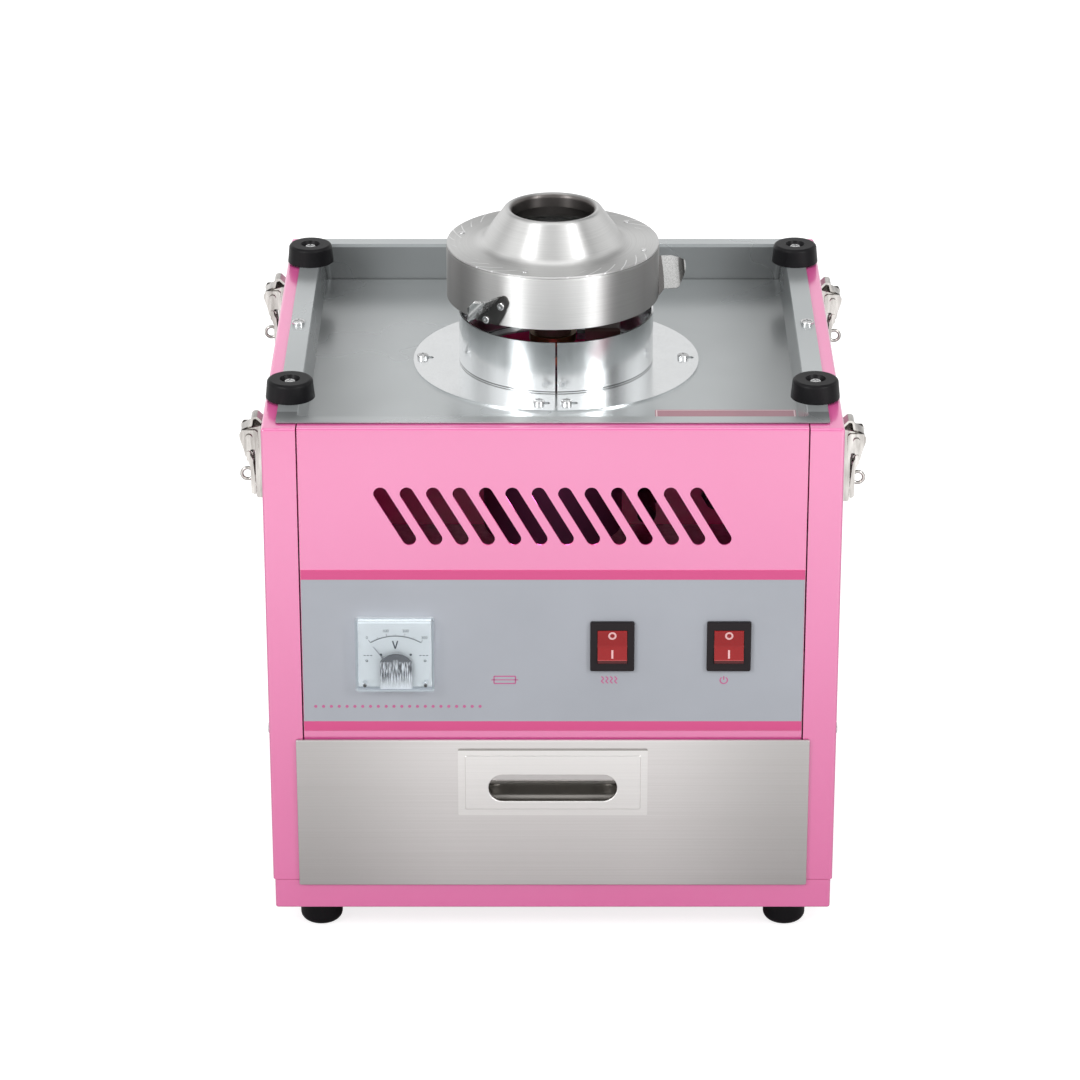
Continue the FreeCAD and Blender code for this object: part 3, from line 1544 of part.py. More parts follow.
def latch_staple():
    # The ring that stands through the lever for a padlock.
    back = -latch_pivot_out
    ring = Part.makeTorus(eye_radius, eye_wire, Vector(eye_out, 0, -eye_drop), Y_AXIS)
    stem = rod(eye_wire, back, 0, -eye_drop, eye_out - eye_radius - back, X_AXIS)
    return joined([ring, stem])


def latch_bases():
    pieces = [latch_channel(), latch_pivot(), latch_staple()]
    solids = []
    for side in (-1, 1):
        for y in latch_ys:
            solids.extend(latch_placed(piece, side, y) for piece in pieces)
    return Part.makeCompound(solids)


def latch_lever_blank():
    # Two cheeks on the pivot, joined below by the web of the pull bar.
    outer_y = latch_outer_y()
    inner_y = outer_y - lever_sheet
    cheek = [
        (-5.1, 3.1), (-3.6, 4.3), (4.1, 4.2), (5.5, 1.7), (5.3, -0.7), (-0.4, -18.6),
        (-0.7, -34.5), (-2.4, -35.5), (-3.6, -35.0), (-3.5, -31.6), (-1.9, -13.8),
        (-0.2, -10.4), (-0.6, -7.5), (-3.2, -7.5), (-4.2, -9.4), (-5.1, -7.5), (-5.3, -2.7),
    ]
    radii = [1.0, 1.0, 1.2, 1.0, 2.0, 6.0, 1.0, 0.6, 0.4, 3.0, 2.0, 1.5, 1.2, 1.2, 0.4, 0.6, 4.0]
    solid = side_prism(cheek, radii, -outer_y, outer_y)
    hollow = [
        (-12.0, 12.0), (12.0, 12.0), (12.0, -17.0), (-1.0, -17.0), (-1.4, -18.6),
        (-1.7, -34.3), (-2.6, -37.0), (-12.0, -37.0),
    ]
    inside = side_prism(hollow, [0] * len(hollow), -inner_y, inner_y)
    slot_reach = eye_radius + eye_wire + eye_slot_margin
    slot = block(-12, 12, -eye_slot_half, eye_slot_half, -eye_drop - slot_reach, -eye_drop + slot_reach)
    bore = rod(pivot_radius + running_gap, 0, -20, 0, 40, Y_AXIS)
    pin = rod(hook_pin_radius, hook_pin_out, -outer_y, -hook_pin_drop, 2 * outer_y, Y_AXIS)
    return joined([without(solid, [inside, slot, bore]), pin] + pin_ends(outer_y))


def pin_ends(outer_y):
    # The hook pin's ends are pressed flat against the cheeks.
    x0 = hook_pin_out - pin_end_width / 2
    z0 = -hook_pin_drop - pin_end_height / 2
    outline = rectangle(x0, x0 + pin_end_width, z0, z0 + pin_end_height)
    radii = [pin_end_width / 2 - 0.01] * 4
    ends = []
    for y0, y1 in ((outer_y, outer_y + pin_end_thickness), (-outer_y - pin_end_thickness, -outer_y)):
        ends.append(side_prism(outline, radii, y0, y1))
    return ends


def latch_hook_blank():
    # A strap rolled round its pin; it passes outside the pivot and bends in to a hooked top.
    wall = hook_pin_radius + hook_pin_wall
    eye = rod(wall, hook_pin_out, -hook_half, -hook_pin_drop, 2 * hook_half, Y_AXIS)
    strap = [
        (hook_pin_out + wall, -hook_pin_drop), (4.8, -2.5), (4.8, 3.3), (-0.5, 6.1),
        (-1.5, 11.2), (-4.8, 11.5), (-7.9, 8.4),
    ]
    face = sheet_face(strap, [0, 3.0, 2.2, 1.2, 2.2, 2.2, 0], hook_sheet, -hook_half)
    band = face.extrude(Vector(0, 2 * hook_half, 0))
    bore = rod(hook_pin_radius + running_gap, hook_pin_out, -20, -hook_pin_drop, 40, Y_AXIS)
    return joined([eye, band]).cut(bore)


def latch_pieces(blank, prefix):
    shapes = {}
    for end, y in zip(("front", "back"), latch_ys):
        for name, side in (("left", -1), ("right", 1)):
            shapes[prefix + "_" + end + "_" + name] = latch_placed(blank, side, y)
    return shapes


# ---------------------------------------------------------------- writing the files
BUILDERS = (
    base_pan,
    left_side_panel,
    right_side_panel,
    back_panel,
    front_panel,
    control_overlay,
    inner_shelf,
    top_tray,
    feet,
    bowl_bumpers,
    rubber_screws,
    machine_screws,
    left_collar,
    right_collar,
    motor_plate,
    motor_bushes,
    motor_studs,
    motor_housing,
    motor_end_cap,
    motor_bearings,
    motor_stator,
    motor_rotor,
    motor_shaft,
    slip_ring_drum,
    slip_rings,
    brush_holder,
    carbon_brushes,
    head_hub,
    head_base,
    head_band,
    head_cover,
    sugar_cup,
    heater_ring,
    heater_insulators,
    wind_vanes,
    head_rivets,
    voltmeter_body,
    voltmeter_dial,
    voltmeter_needle,
    voltmeter_cover,
    switch_bodies,
    heat_rocker,
    power_rocker,
    cable_gland,
    fuse_holder,
    fuse_cap,
    fuse_link,
    drawer_front,
    drawer_box,
    drawer_pull,
    drawer_runners,
    latch_bases,
)

os.makedirs("parts", exist_ok=True)
shapes = {builder.__name__: builder() for builder in BUILDERS}
shapes.update(latch_pieces(latch_lever_blank(), "latch_lever"))
shapes.update(latch_pieces(latch_hook_blank(), "latch_hook"))
for name, shape in shapes.items():
    shape.exportStep("parts/" + name + ".step")
    print(name, len(shape.Solids), "valid" if shape.isValid() else "INVALID", round(shape.Volume, 1))
print("box", shapes["feet"].BoundBox.ZMin, shapes["head_cover"].BoundBox.ZMax)
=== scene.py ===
import bpy, math, json
import numpy as np
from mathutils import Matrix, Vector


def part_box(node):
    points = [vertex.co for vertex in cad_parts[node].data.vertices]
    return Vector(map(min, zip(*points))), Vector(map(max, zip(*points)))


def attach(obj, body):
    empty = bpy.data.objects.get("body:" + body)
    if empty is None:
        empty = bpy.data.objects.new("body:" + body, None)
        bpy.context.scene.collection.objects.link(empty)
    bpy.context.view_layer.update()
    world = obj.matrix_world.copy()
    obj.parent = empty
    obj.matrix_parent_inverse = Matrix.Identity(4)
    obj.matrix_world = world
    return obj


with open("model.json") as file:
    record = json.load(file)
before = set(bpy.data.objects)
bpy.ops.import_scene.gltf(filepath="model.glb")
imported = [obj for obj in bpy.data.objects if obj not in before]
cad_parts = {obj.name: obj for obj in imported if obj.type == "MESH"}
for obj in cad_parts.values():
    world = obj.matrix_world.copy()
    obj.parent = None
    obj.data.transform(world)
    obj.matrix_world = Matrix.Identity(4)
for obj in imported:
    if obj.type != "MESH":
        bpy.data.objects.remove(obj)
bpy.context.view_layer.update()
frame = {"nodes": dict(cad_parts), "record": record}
nodes = frame["nodes"]
mm = 0.001
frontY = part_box("left_side_panel")[0].y  # the casing's front face
bandLow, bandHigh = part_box("head_band")
headAxis = ((bandLow.x + bandHigh.x) / 2, (bandLow.y + bandHigh.y) / 2, 0.0)

# The camera looks down on the front from a little over a metre up.
shot = {"distance": 2.2573, "height": 1.2394, "tilt": 66.4452, "lens": 143.95, "shift": -0.01185}


def makeCamera(values):
    data = bpy.data.cameras.new("camera")
    data.lens = values["lens"]
    data.shift_x = values["shift"]
    camera = bpy.data.objects.new("camera", data)
    camera.location = (0, frontY - values["distance"], values["height"])
    camera.rotation_euler = (math.radians(values["tilt"]), 0, 0)
    bpy.context.scene.collection.objects.link(camera)
    bpy.context.scene.camera = camera


makeCamera(shot)
bpy.context.scene.view_settings.view_transform = "Standard"
print("camera placed")


# Helpers for node trees. A colour of three numbers is as it is seen, 0 to 255.
def addNode(tree, kind, inputs=None, **settings):
    made = tree.nodes.new(kind)
    for key, value in settings.items():
        setattr(made, key, value)
    for key, value in (inputs or {}).items():
        if isinstance(value, bpy.types.NodeSocket):
            tree.links.new(value, made.inputs[key])
        else:
            made.inputs[key].default_value = value
    return made


def linear(red, green, blue):
    # A colour as it is seen, turned into the shader's own scale.
    seen = np.array([red, green, blue]) / 255
    opened = np.where(seen <= 0.04045, seen / 12.92, ((seen + 0.055) / 1.055) ** 2.4)
    return (*[float(part) for part in opened], 1.0)


def darker(colour, share):
    return (*[part * share for part in colour[:3]], 1.0)


def ramp(tree, value, low, high, colourLow=(0, 0, 0, 1), colourHigh=(1, 1, 1, 1)):
    made = addNode(tree, "ShaderNodeValToRGB", {"Fac": value})
    ends = made.color_ramp.elements
    ends[0].position, ends[0].color = low, colourLow
    ends[1].position, ends[1].color = high, colourHigh
    return made.outputs["Color"]


def blendColour(tree, amount, first, second):
    first, second = [linear(*side) if isinstance(side, tuple) and len(side) == 3 else side
                     for side in (first, second)]
    made = addNode(tree, "ShaderNodeMix", {"Factor": amount, 6: first, 7: second}, data_type="RGBA")
    return made.outputs[2]


def blendValue(tree, amount, first, second):
    return addNode(tree, "ShaderNodeMix", {"Factor": amount, 2: first, 3: second}).outputs[0]


def mottled(tree, pattern, light, dark, low=0.3, high=0.7):
    # Two close tones, parted by a pattern.
    return blendColour(tree, ramp(tree, pattern, low, high), light, dark)


def mapped(tree, value, fromLow, fromHigh, toLow=0.0, toHigh=1.0, **settings):
    # Takes a value that lies between two limits to lie between two others.
    made = addNode(tree, "ShaderNodeMapRange", {
        "Value": value, "From Min": fromLow, "From Max": fromHigh, "To Min": toLow, "To Max": toHigh,
    }, **settings)
    return made.outputs["Result"]


def sums(tree, operation, first, second=0.0, clamp=False):
    made = addNode(tree, "ShaderNodeMath", {0: first, 1: second}, operation=operation, use_clamp=clamp)
    return made.outputs[0]


def times(tree, first, second):
    return sums(tree, "MULTIPLY", first, second)


def minus(tree, first, second):
    return sums(tree, "SUBTRACT", first, second)


def over(tree, value, limit):
    return sums(tree, "GREATER_THAN", value, limit)


def under(tree, value, limit):
    return sums(tree, "LESS_THAN", value, limit)


def apart(tree, value, middle):
    # How far a value is from a middle one, to either side.
    return sums(tree, "ABSOLUTE", minus(tree, value, middle))


def vectorSums(tree, operation, first, second=(0, 0, 0)):
    made = addNode(tree, "ShaderNodeVectorMath", {0: first, 1: second}, operation=operation)
    return made.outputs["Value" if operation in ("LENGTH", "DOT_PRODUCT") else "Vector"]


def scaled(tree, vector, amount):
    made = addNode(tree, "ShaderNodeVectorMath", {0: vector, "Scale": amount}, operation="SCALE")
    return made.outputs["Vector"]


def objectPlace(tree):
    return addNode(tree, "ShaderNodeTexCoord").outputs["Object"]


def partsOf(tree, vector):
    return addNode(tree, "ShaderNodeSeparateXYZ", {0: vector}).outputs


def noise(tree, place, scale, detail, **more):
    inputs = {"Vector": place, "Scale": scale, "Detail": detail, **more}
    return addNode(tree, "ShaderNodeTexNoise", inputs).outputs


# Shared effects, each a node group with named sockets.
patterns = {"cloudShare": 0.012, "streakShare": 0.11, "scratchStretch": (1.0, 9.0, 5.0),
            "scratchThin": 60.0, "smearScale": 14.0, "smearTwist": 0.6}


def newGroup(name, inputs, outputs):
    group = bpy.data.node_groups.new(name, "ShaderNodeTree")
    for label, kind, value in inputs:
        socket = group.interface.new_socket(label, in_out="INPUT", socket_type="NodeSocket" + kind)
        socket.default_value = value
    for label in outputs:
        group.interface.new_socket(label, in_out="OUTPUT", socket_type="NodeSocketFloat")
    return group, addNode(group, "NodeGroupInput").outputs


def makeGrain():
    # Even, fine grain, and far wider clouds: the skin of paint, film, rubber and plastic.
    group, given = newGroup("fineGrain", [("Scale", "Float", 900.0)], ("Grain", "Cloud"))
    place = objectPlace(group)
    fine = noise(group, place, given["Scale"], 2.0)["Fac"]
    cloud = noise(group, place, times(group, given["Scale"], patterns["cloudShare"]), 3.0)["Fac"]
    addNode(group, "NodeGroupOutput", {"Grain": fine, "Cloud": cloud})
    return group


def makeBrushed():
    # Straight brushing: noise squeezed across the lines and drawn out along them.
    group, given = newGroup("brushedLines", [("Squeeze", "Vector", (20.0, 20.0, 2500.0))],
                            ("Lines", "Streaks"))
    drawn = vectorSums(group, "MULTIPLY", objectPlace(group), given["Squeeze"])
    lines = noise(group, drawn, 1.0, 3.0)["Fac"]
    streaks = noise(group, scaled(group, drawn, patterns["streakShare"]), 1.0, 2.0)["Fac"]
    addNode(group, "NodeGroupOutput", {"Lines": lines, "Streaks": streaks})
    return group


def makeTurned():
    # Turning marks that run round an upright axis, closer together where the scale is higher.
    group, given = newGroup(
        "turnedLines", [("Centre", "Vector", (0.0, 0.0, 0.0)), ("Scale", "Float", 1800.0)],
        ("Lines", "Angle", "Radius"))
    local = vectorSums(group, "SUBTRACT", objectPlace(group), given["Centre"])
    east, north, up = partsOf(group, local)
    squares = sums(group, "ADD", times(group, east, east), times(group, north, north))
    radius = sums(group, "SQRT", squares)
    angle = sums(group, "ARCTAN2", north, east)
    packed = addNode(group, "ShaderNodeCombineXYZ", {
        0: times(group, radius, given["Scale"]), 1: sums(group, "COSINE", angle),
        2: times(group, up, given["Scale"])})
    lines = noise(group, packed.outputs[0], 1.0, 3.0)["Fac"]
    addNode(group, "NodeGroupOutput", {"Lines": lines, "Angle": angle, "Radius": radius})
    return group


def makeScuffs():
    # A few fine scratches in random directions, and soft smears between them.
    group, given = newGroup("fineScuffs", [("Scale", "Float", 60.0)], ("Scratch", "Smear"))
    place = objectPlace(group)
    pushed = vectorSums(group, "ADD", place, noise(group, place, given["Scale"], 1.0)["Color"])
    drawn = vectorSums(group, "MULTIPLY", pushed, patterns["scratchStretch"])
    thin = apart(group, noise(group, drawn, given["Scale"], 4.0)["Fac"], 0.5)
    scratch = sums(group, "SUBTRACT", 1.0, times(group, thin, patterns["scratchThin"]), clamp=True)
    smear = noise(group, place, patterns["smearScale"], 3.0, Distortion=patterns["smearTwist"])["Fac"]
    addNode(group, "NodeGroupOutput", {"Scratch": scratch, "Smear": smear})
    return group


groups = {"grain": makeGrain(), "brushed": makeBrushed(), "turned": makeTurned(),
          "scuffs": makeScuffs()}
print("shared effects built")


def useGroup(tree, name, **inputs):
    made = addNode(tree, "ShaderNodeGroup", node_tree=groups[name])
    for label, value in inputs.items():
        made.inputs[label].default_value = value
    return made.outputs


def newMaterial(name, **plain):
    # The Principled shader with its plain numbers on its own sockets.
    material = bpy.data.materials.new(name)
    material.use_nodes = True
    tree = material.node_tree
    shader = tree.nodes["Principled BSDF"]
    for label, value in plain.items():
        shader.inputs[label.replace("_", " ")].default_value = value
    return material, tree, shader


def dress(tree, shader, colour, uneven, roughness, swing, height=None, strength=0.0, depth=0.0):
    # Links the colour, a roughness that swings about its middle value, and a fine relief.
    tree.links.new(colour, shader.inputs["Base Color"])
    rough = mapped(tree, uneven, 0.0, 1.0, roughness - swing, roughness + swing)
    tree.links.new(rough, shader.inputs["Roughness"])
    if height is not None:
        relief = {"Height": height, "Strength": strength, "Distance": depth}
        bump = addNode(tree, "ShaderNodeBump", relief)
        tree.links.new(bump.outputs["Normal"], shader.inputs["Normal"])


# Painted sheet metal: slightly clouded, with a little orange peel.
paintSkin = {"scale": 700.0, "cloudLow": 0.35, "cloudHigh": 0.65, "swing": 0.03, "relief": 0.4 * mm}


def clouded(tree, grain, light, dark):
    return mottled(tree, grain["Cloud"], light, dark, paintSkin["cloudLow"], paintSkin["cloudHigh"])


def paint(name, light, dark, roughness=0.34, peel=0.05, **plain):
    material, tree, shader = newMaterial(name, **plain)
    grain = useGroup(tree, "grain", Scale=paintSkin["scale"])
    colour = clouded(tree, grain, light, dark)
    dress(tree, shader, colour, grain["Cloud"], roughness, paintSkin["swing"],
          grain["Grain"], peel, paintSkin["relief"])
    return material


# Moulded plastic and rubber.
mouldedSkin = {"scale": 2500.0, "swing": 0.06, "relief": 0.2 * mm}


def moulded(name, light, dark, roughness=0.45, bump=0.12, **plain):
    material, tree, shader = newMaterial(name, **plain)
    grain = useGroup(tree, "grain", Scale=mouldedSkin["scale"])
    colour = mottled(tree, grain["Grain"], light, dark)
    dress(tree, shader, colour, grain["Cloud"], roughness, mouldedSkin["swing"],
          grain["Grain"], bump, mouldedSkin["relief"])
    return material


# Brushed and rolled sheet, with a few scratches across it.
sheetSkin = {"scuffScale": 40.0, "scratch": 0.12, "bump": 0.12, "swing": 0.06, "relief": 0.1 * mm}


def brushedMetal(name, light, dark, squeeze, roughness=0.34):
    material, tree, shader = newMaterial(name, Metallic=1.0)
    lines = useGroup(tree, "brushed", Squeeze=squeeze)
    scuffs = useGroup(tree, "scuffs", Scale=sheetSkin["scuffScale"])
    base = mottled(tree, lines["Lines"], light, dark)
    colour = blendColour(tree, times(tree, scuffs["Scratch"], sheetSkin["scratch"]), base, light)
    dress(tree, shader, colour, lines["Streaks"], roughness, sheetSkin["swing"],
          lines["Lines"], sheetSkin["bump"], sheetSkin["relief"])
    return material


# Turned and spun metal, whose marks run round the spin axis.
turnedSkin = {"scuffScale": 50.0, "scratch": 0.15, "swing": 0.05, "relief": 0.1 * mm}
# Darker where the cover's sheet faces the spin axis: where it starts, where it is full, and its tone.
inwardTone = {"from": -0.2, "to": -0.75, "tone": (110, 106, 104)}
# Painted shade on the band's flanks: where it starts, where it is full, and its tone.
flankShading = {"from": 0.3, "to": 0.85, "tone": (96, 95, 94)}
toolMarks = {"beyond": 0.0545, "round": 34.0, "lean": 900.0, "thin": 0.93, "patchLow": 0.5,
             "patchHigh": 0.56, "paleness": 0.8, "raised": 6.0}


def turnedMetal(name, light, dark, scale=2200.0, roughness=0.28, bump=0.1, flankShade=0.0,
                darkInward=False, marked=False, **plain):
    material, tree, shader = newMaterial(name, Metallic=1.0, **plain)
    lines = useGroup(tree, "turned", Scale=scale, Centre=headAxis)
    scuffs = useGroup(tree, "scuffs", Scale=turnedSkin["scuffScale"])
    base = mottled(tree, lines["Lines"], light, dark)
    colour = blendColour(tree, times(tree, scuffs["Scratch"], turnedSkin["scratch"]), base, light)
    height = lines["Lines"]
    if darkInward:
        # Darker where the sheet faces its own axis.
        facing = addNode(tree, "ShaderNodeTexCoord").outputs["Normal"]
        outward = addNode(tree, "ShaderNodeCombineXYZ", {
            0: sums(tree, "COSINE", lines["Angle"]), 1: sums(tree, "SINE", lines["Angle"])})
        turnedOut = vectorSums(tree, "DOT_PRODUCT", facing, outward.outputs[0])
        inwardDarkened = mapped(tree, turnedOut, inwardTone["from"], inwardTone["to"])
        colour = blendColour(tree, inwardDarkened, colour, inwardTone["tone"])
    if flankShade:
        # Painted shade on its two flanks, to the left and right of its front, darker the further it
        # turns aside.
        aside = sums(tree, "ABSOLUTE", sums(tree, "COSINE", lines["Angle"]))
        flankShaded = mapped(tree, aside, flankShading["from"], flankShading["to"], 0.0, flankShade)
        colour = blendColour(tree, flankShaded, colour, flankShading["tone"])
    if marked:
        # Short slanting tool marks near the outer edge, thick in some places and absent in others.
        slant = sums(tree, "ADD", times(tree, lines["Angle"], toolMarks["round"]),
                     times(tree, lines["Radius"], toolMarks["lean"]))
        strokes = over(tree, sums(tree, "SINE", slant), toolMarks["thin"])
        outer = times(tree, strokes, over(tree, lines["Radius"], toolMarks["beyond"]))
        patches = ramp(tree, scuffs["Smear"], toolMarks["patchLow"], toolMarks["patchHigh"])
        marks = times(tree, outer, patches)
        colour = blendColour(tree, times(tree, marks, toolMarks["paleness"]), colour, (1, 1, 1, 1))
        height = sums(tree, "ADD", height, times(tree, marks, toolMarks["raised"]))
    dress(tree, shader, colour, scuffs["Smear"], roughness, turnedSkin["swing"],
          height, bump, turnedSkin["relief"])
    if "Anisotropic" in plain:
        spin = addNode(tree, "ShaderNodeTangent", direction_type="RADIAL", axis="Z")
        tree.links.new(spin.outputs[0], shader.inputs["Tangent"])
    return material


print("material recipes ready")

steelWhite = (226, 226, 226)
steelGrey = (196, 197, 198)
finishes = {
    "pink_paint": paint("pinkPaint", (238, 100, 171), (236, 96, 167), 0.32, 0.04,
                        Specular_IOR_Level=0.8, Coat_Weight=1.0, Coat_Roughness=0.14, Coat_IOR=2.1),
    "zinc_plate": brushedMetal("zincPlate", (205, 206, 208), (180, 182, 186), (300, 300, 300)),
    "box_steel": brushedMetal("boxSteel", (206, 206, 206), (188, 188, 188), (900, 8, 900)),
    # The band carries painted shade on its flanks.
    "head_aluminium": turnedMetal("headAluminium", (226, 226, 225), (216, 216, 215), roughness=0.46,
                                  flankShade=0.75, bump=0.05, Anisotropic=0.95, Anisotropic_Rotation=0.25),
    "head_cover": turnedMetal("coverAluminium", (212, 212, 211), (202, 202, 201), roughness=0.38,
                              bump=0.05, darkInward=True, marked=True, Anisotropic=0.8,
                              Anisotropic_Rotation=0.25),
    "hub_aluminium": turnedMetal("hubAluminium", (208, 208, 208), (184, 184, 184), 1400.0),
    "rivet_steel": turnedMetal("rivetSteel", steelWhite, steelGrey, 900.0, 0.22),
    "screw_steel": brushedMetal("screwSteel", steelWhite, steelGrey, (700, 700, 700), 0.18),
    "latch_nickel": brushedMetal("latchNickel", (202, 199, 195), (152, 148, 144), (400, 60, 60), 0.18),
    "black_rubber": moulded("blackRubber", (17, 16, 19), (10, 9, 12), 0.4, Specular_IOR_Level=0.18),
    "bush_rubber": moulded("bushRubber", (48, 46, 44), (34, 33, 32), 0.7),
    "meter_case": moulded("meterCase", (226, 230, 234), (214, 218, 222), 0.35),
    "dial_white": moulded("dialWhite", (194, 199, 200), (188, 193, 195), 0.6, 0.02),
    "needle_black": moulded("needleGrey", (150, 154, 160), (136, 140, 146), 0.5),
    "switch_black": moulded("switchBlack", (25, 15, 20), (17, 10, 14), 0.35, Specular_IOR_Level=0.25),
    "fuse_black": moulded("fuseBlack", (40, 40, 41), (28, 28, 29)),
    "gland_nylon": moulded("glandNylon", (44, 44, 46), (32, 32, 34), 0.55),
    "motor_paint": paint("motorPaint", (70, 74, 78), (58, 62, 66), 0.5),
    "motor_core": brushedMetal("motorCore", (140, 140, 142), (90, 90, 92), (60, 60, 4000)),
    "shaft_steel": turnedMetal("shaftSteel", (215, 215, 216), (190, 190, 192), 3000.0),
    "bearing_bronze": turnedMetal("bearingBronze", (150, 112, 70), (124, 92, 56), 1600.0),
    "ring_brass": turnedMetal("ringBrass", (120, 92, 60), (96, 72, 46), 1800.0, 0.4),
    "phenolic": moulded("phenolicBrown", (70, 40, 34), (52, 30, 26), 0.5),
    "carbon": moulded("carbonBlack", (54, 54, 56), (38, 38, 40), 0.6),
    "heater_alloy": turnedMetal("heaterAlloy", (120, 112, 106), (86, 80, 78), 700.0, 0.45),
    "ceramic": moulded("ceramicWhite", (234, 226, 210), (222, 212, 194), 0.7),
}

# The drawer's sheet: fine level brushing, with painted shade towards both sides that leaves it paler
# down its middle.
drawerSkin = {"squeeze": (5.0, 900.0, 2600.0), "half": 0.15, "polished": 0.3, "shadeTone": (120, 118, 116),
              "roughness": 0.35, "swing": 0.05, "bump": 0.08, "relief": 0.1 * mm}
# Painted shade inside the pull's finger pocket, and a painted shadow line along the plate's top edge.
pocketShade = {"edge": 0.9 * mm, "edgeShade": 0.8, "shallow": 4.5 * mm, "deep": 12.0 * mm,
          "shadeTone": (138, 135, 131)}


def drawerSheet(name, light, dark, sideShade, pocketShade=None):
    material, tree, shader = newMaterial(name, Metallic=1.0, Anisotropic=0.5)
    lines = useGroup(tree, "brushed", Squeeze=drawerSkin["squeeze"])
    parts = partsOf(tree, objectPlace(tree))
    # Painted shade, growing from the middle towards both sides of the sheet.
    out = times(tree, sums(tree, "ABSOLUTE", parts["X"]), 1 / drawerSkin["half"])
    side = mapped(tree, out, drawerSkin["polished"], 1.0, interpolation_type="SMOOTHSTEP")
    base = mottled(tree, lines["Lines"], light, dark)
    colour = blendColour(tree, times(tree, side, sideShade), base, drawerSkin["shadeTone"])
    if pocketShade:
        # Painted shade, darker the deeper it lies inside the finger pocket, and a painted shadow line
        # along the plate's top edge.
        low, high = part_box("drawer_pull")
        inside = mapped(tree, minus(tree, parts["Y"], low.y), pocketShade["shallow"], pocketShade["deep"])
        edge = over(tree, parts["Z"], high.z - pocketShade["edge"])
        shaded = sums(tree, "MAXIMUM", inside, times(tree, edge, pocketShade["edgeShade"]))
        colour = blendColour(tree, shaded, colour, pocketShade["shadeTone"])
    dress(tree, shader, colour, lines["Streaks"], drawerSkin["roughness"], drawerSkin["swing"],
          lines["Lines"], drawerSkin["bump"], drawerSkin["relief"])
    return material


finishes["drawer_steel"] = drawerSheet("drawerSteel", (226, 223, 222), (218, 215, 213), 0.42)
finishes["pull_steel"] = drawerSheet("pullSteel", (236, 234, 232), (230, 228, 226), 0.1, pocketShade)

# Plain sheet with one band of painted shade. It makes a dark line along the collar's fold, where its
# wall stands on its flange, and as a painted reflection it makes the vanes' tabs dark against the
# band.
collarSkin = {"light": (232, 234, 235), "dark": (226, 228, 229), "inner": (110, 112, 112),
              "squeeze": (900, 900, 12), "roughness": 0.2, "from": 1.3 * mm, "to": 2.0 * mm}
vaneSkin = {"light": (190, 190, 189), "dark": (170, 170, 169), "inner": (104, 102, 101),
            "squeeze": (1500, 1500, 200), "roughness": 0.26, "reach": 3.2 * mm}
shadedSheetSkin = {"swing": 0.05, "bump": 0.03, "relief": 0.1 * mm}


def shadedSheet(name, values, measure, low, high):
    # The painted shade shows between two heights, or between two distances from the head's axis.
    material, tree, shader = newMaterial(name, Metallic=1.0)
    lines = useGroup(tree, "brushed", Squeeze=values["squeeze"])
    place = objectPlace(tree)
    if measure == "height":
        measured = partsOf(tree, place)["Z"]
    else:
        level = vectorSums(tree, "MULTIPLY", vectorSums(tree, "SUBTRACT", place, headAxis), (1, 1, 0))
        measured = vectorSums(tree, "LENGTH", level)
    within = times(tree, over(tree, measured, low), under(tree, measured, high))
    base = mottled(tree, lines["Lines"], values["light"], values["dark"])
    colour = blendColour(tree, within, base, values["inner"])
    dress(tree, shader, colour, lines["Streaks"], values["roughness"], shadedSheetSkin["swing"],
          lines["Lines"], shadedSheetSkin["bump"], shadedSheetSkin["relief"])
    return material


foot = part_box("left_collar")[0].z
# Painted shade on the collar: a dark line along its fold.
finishes["collar_steel"] = shadedSheet("collarSteel", collarSkin, "height",
                                   foot + collarSkin["from"], foot + collarSkin["to"])
# Painted reflection on the vanes: their tabs darker than the band.
finishes["vane_steel"] = shadedSheet("vaneSteel", vaneSkin, "radius",
                                 0.0, (bandHigh.x - bandLow.x) / 2 + vaneSkin["reach"])

# The tray's paint, with painted light and shade: palest in the middle of its floor, darker towards its
# sides and at its back wall, and with a painted highlight along its rim.
traySkin = {"light": (164, 168, 169), "dark": (157, 161, 162), "middle": 1.36, "side": 0.77,
            "near": 82 * mm, "far": 150 * mm, "wall": 0.54, "wallDepth": 16 * mm, "rim": 1.35,
            "rimHeight": 2 * mm, "roughness": 0.28, "peel": 0.03}


def trayPaint(values):
    material, tree, shader = newMaterial("trayPaint", Metallic=0.55, Coat_Weight=0.2,
                                         Coat_Roughness=0.12)
    grain = useGroup(tree, "grain", Scale=paintSkin["scale"])
    low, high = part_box("top_tray")
    parts = partsOf(tree, objectPlace(tree))
    # Painted light and shade: brighter in the middle, darker towards both sides and near the back
    # wall.
    away = mapped(tree, sums(tree, "ABSOLUTE", parts["X"]), values["near"], values["far"],
                  values["middle"], values["side"], interpolation_type="SMOOTHSTEP")
    atBack = over(tree, parts["Y"], high.y - values["wallDepth"])
    walled = times(tree, away, minus(tree, 1.0, times(tree, atBack, 1.0 - values["wall"])))
    # A painted highlight along the rim.
    onRim = times(tree, over(tree, parts["Z"], high.z - values["rimHeight"]),
                  over(tree, parts["Y"], low.y + values["wallDepth"]))
    tone = blendValue(tree, onRim, walled, values["rim"])
    colour = clouded(tree, grain, values["light"], values["dark"])
    dress(tree, shader, scaled(tree, colour, tone), grain["Cloud"], values["roughness"],
          paintSkin["swing"], grain["Grain"], values["peel"], paintSkin["relief"])
    return material


finishes["tray_paint"] = trayPaint(traySkin)

# Printed film on the control panel, with its two stripes.
panelPrint = {"stripeBottom": 6.1 * mm, "stripeTop": 5.8 * mm, "film": (178, 182, 190),
              "stripe": (222, 78, 140), "shade": 0.94, "scale": 1600.0, "roughness": 0.45,
              "swing": 0.05, "bump": 0.03}


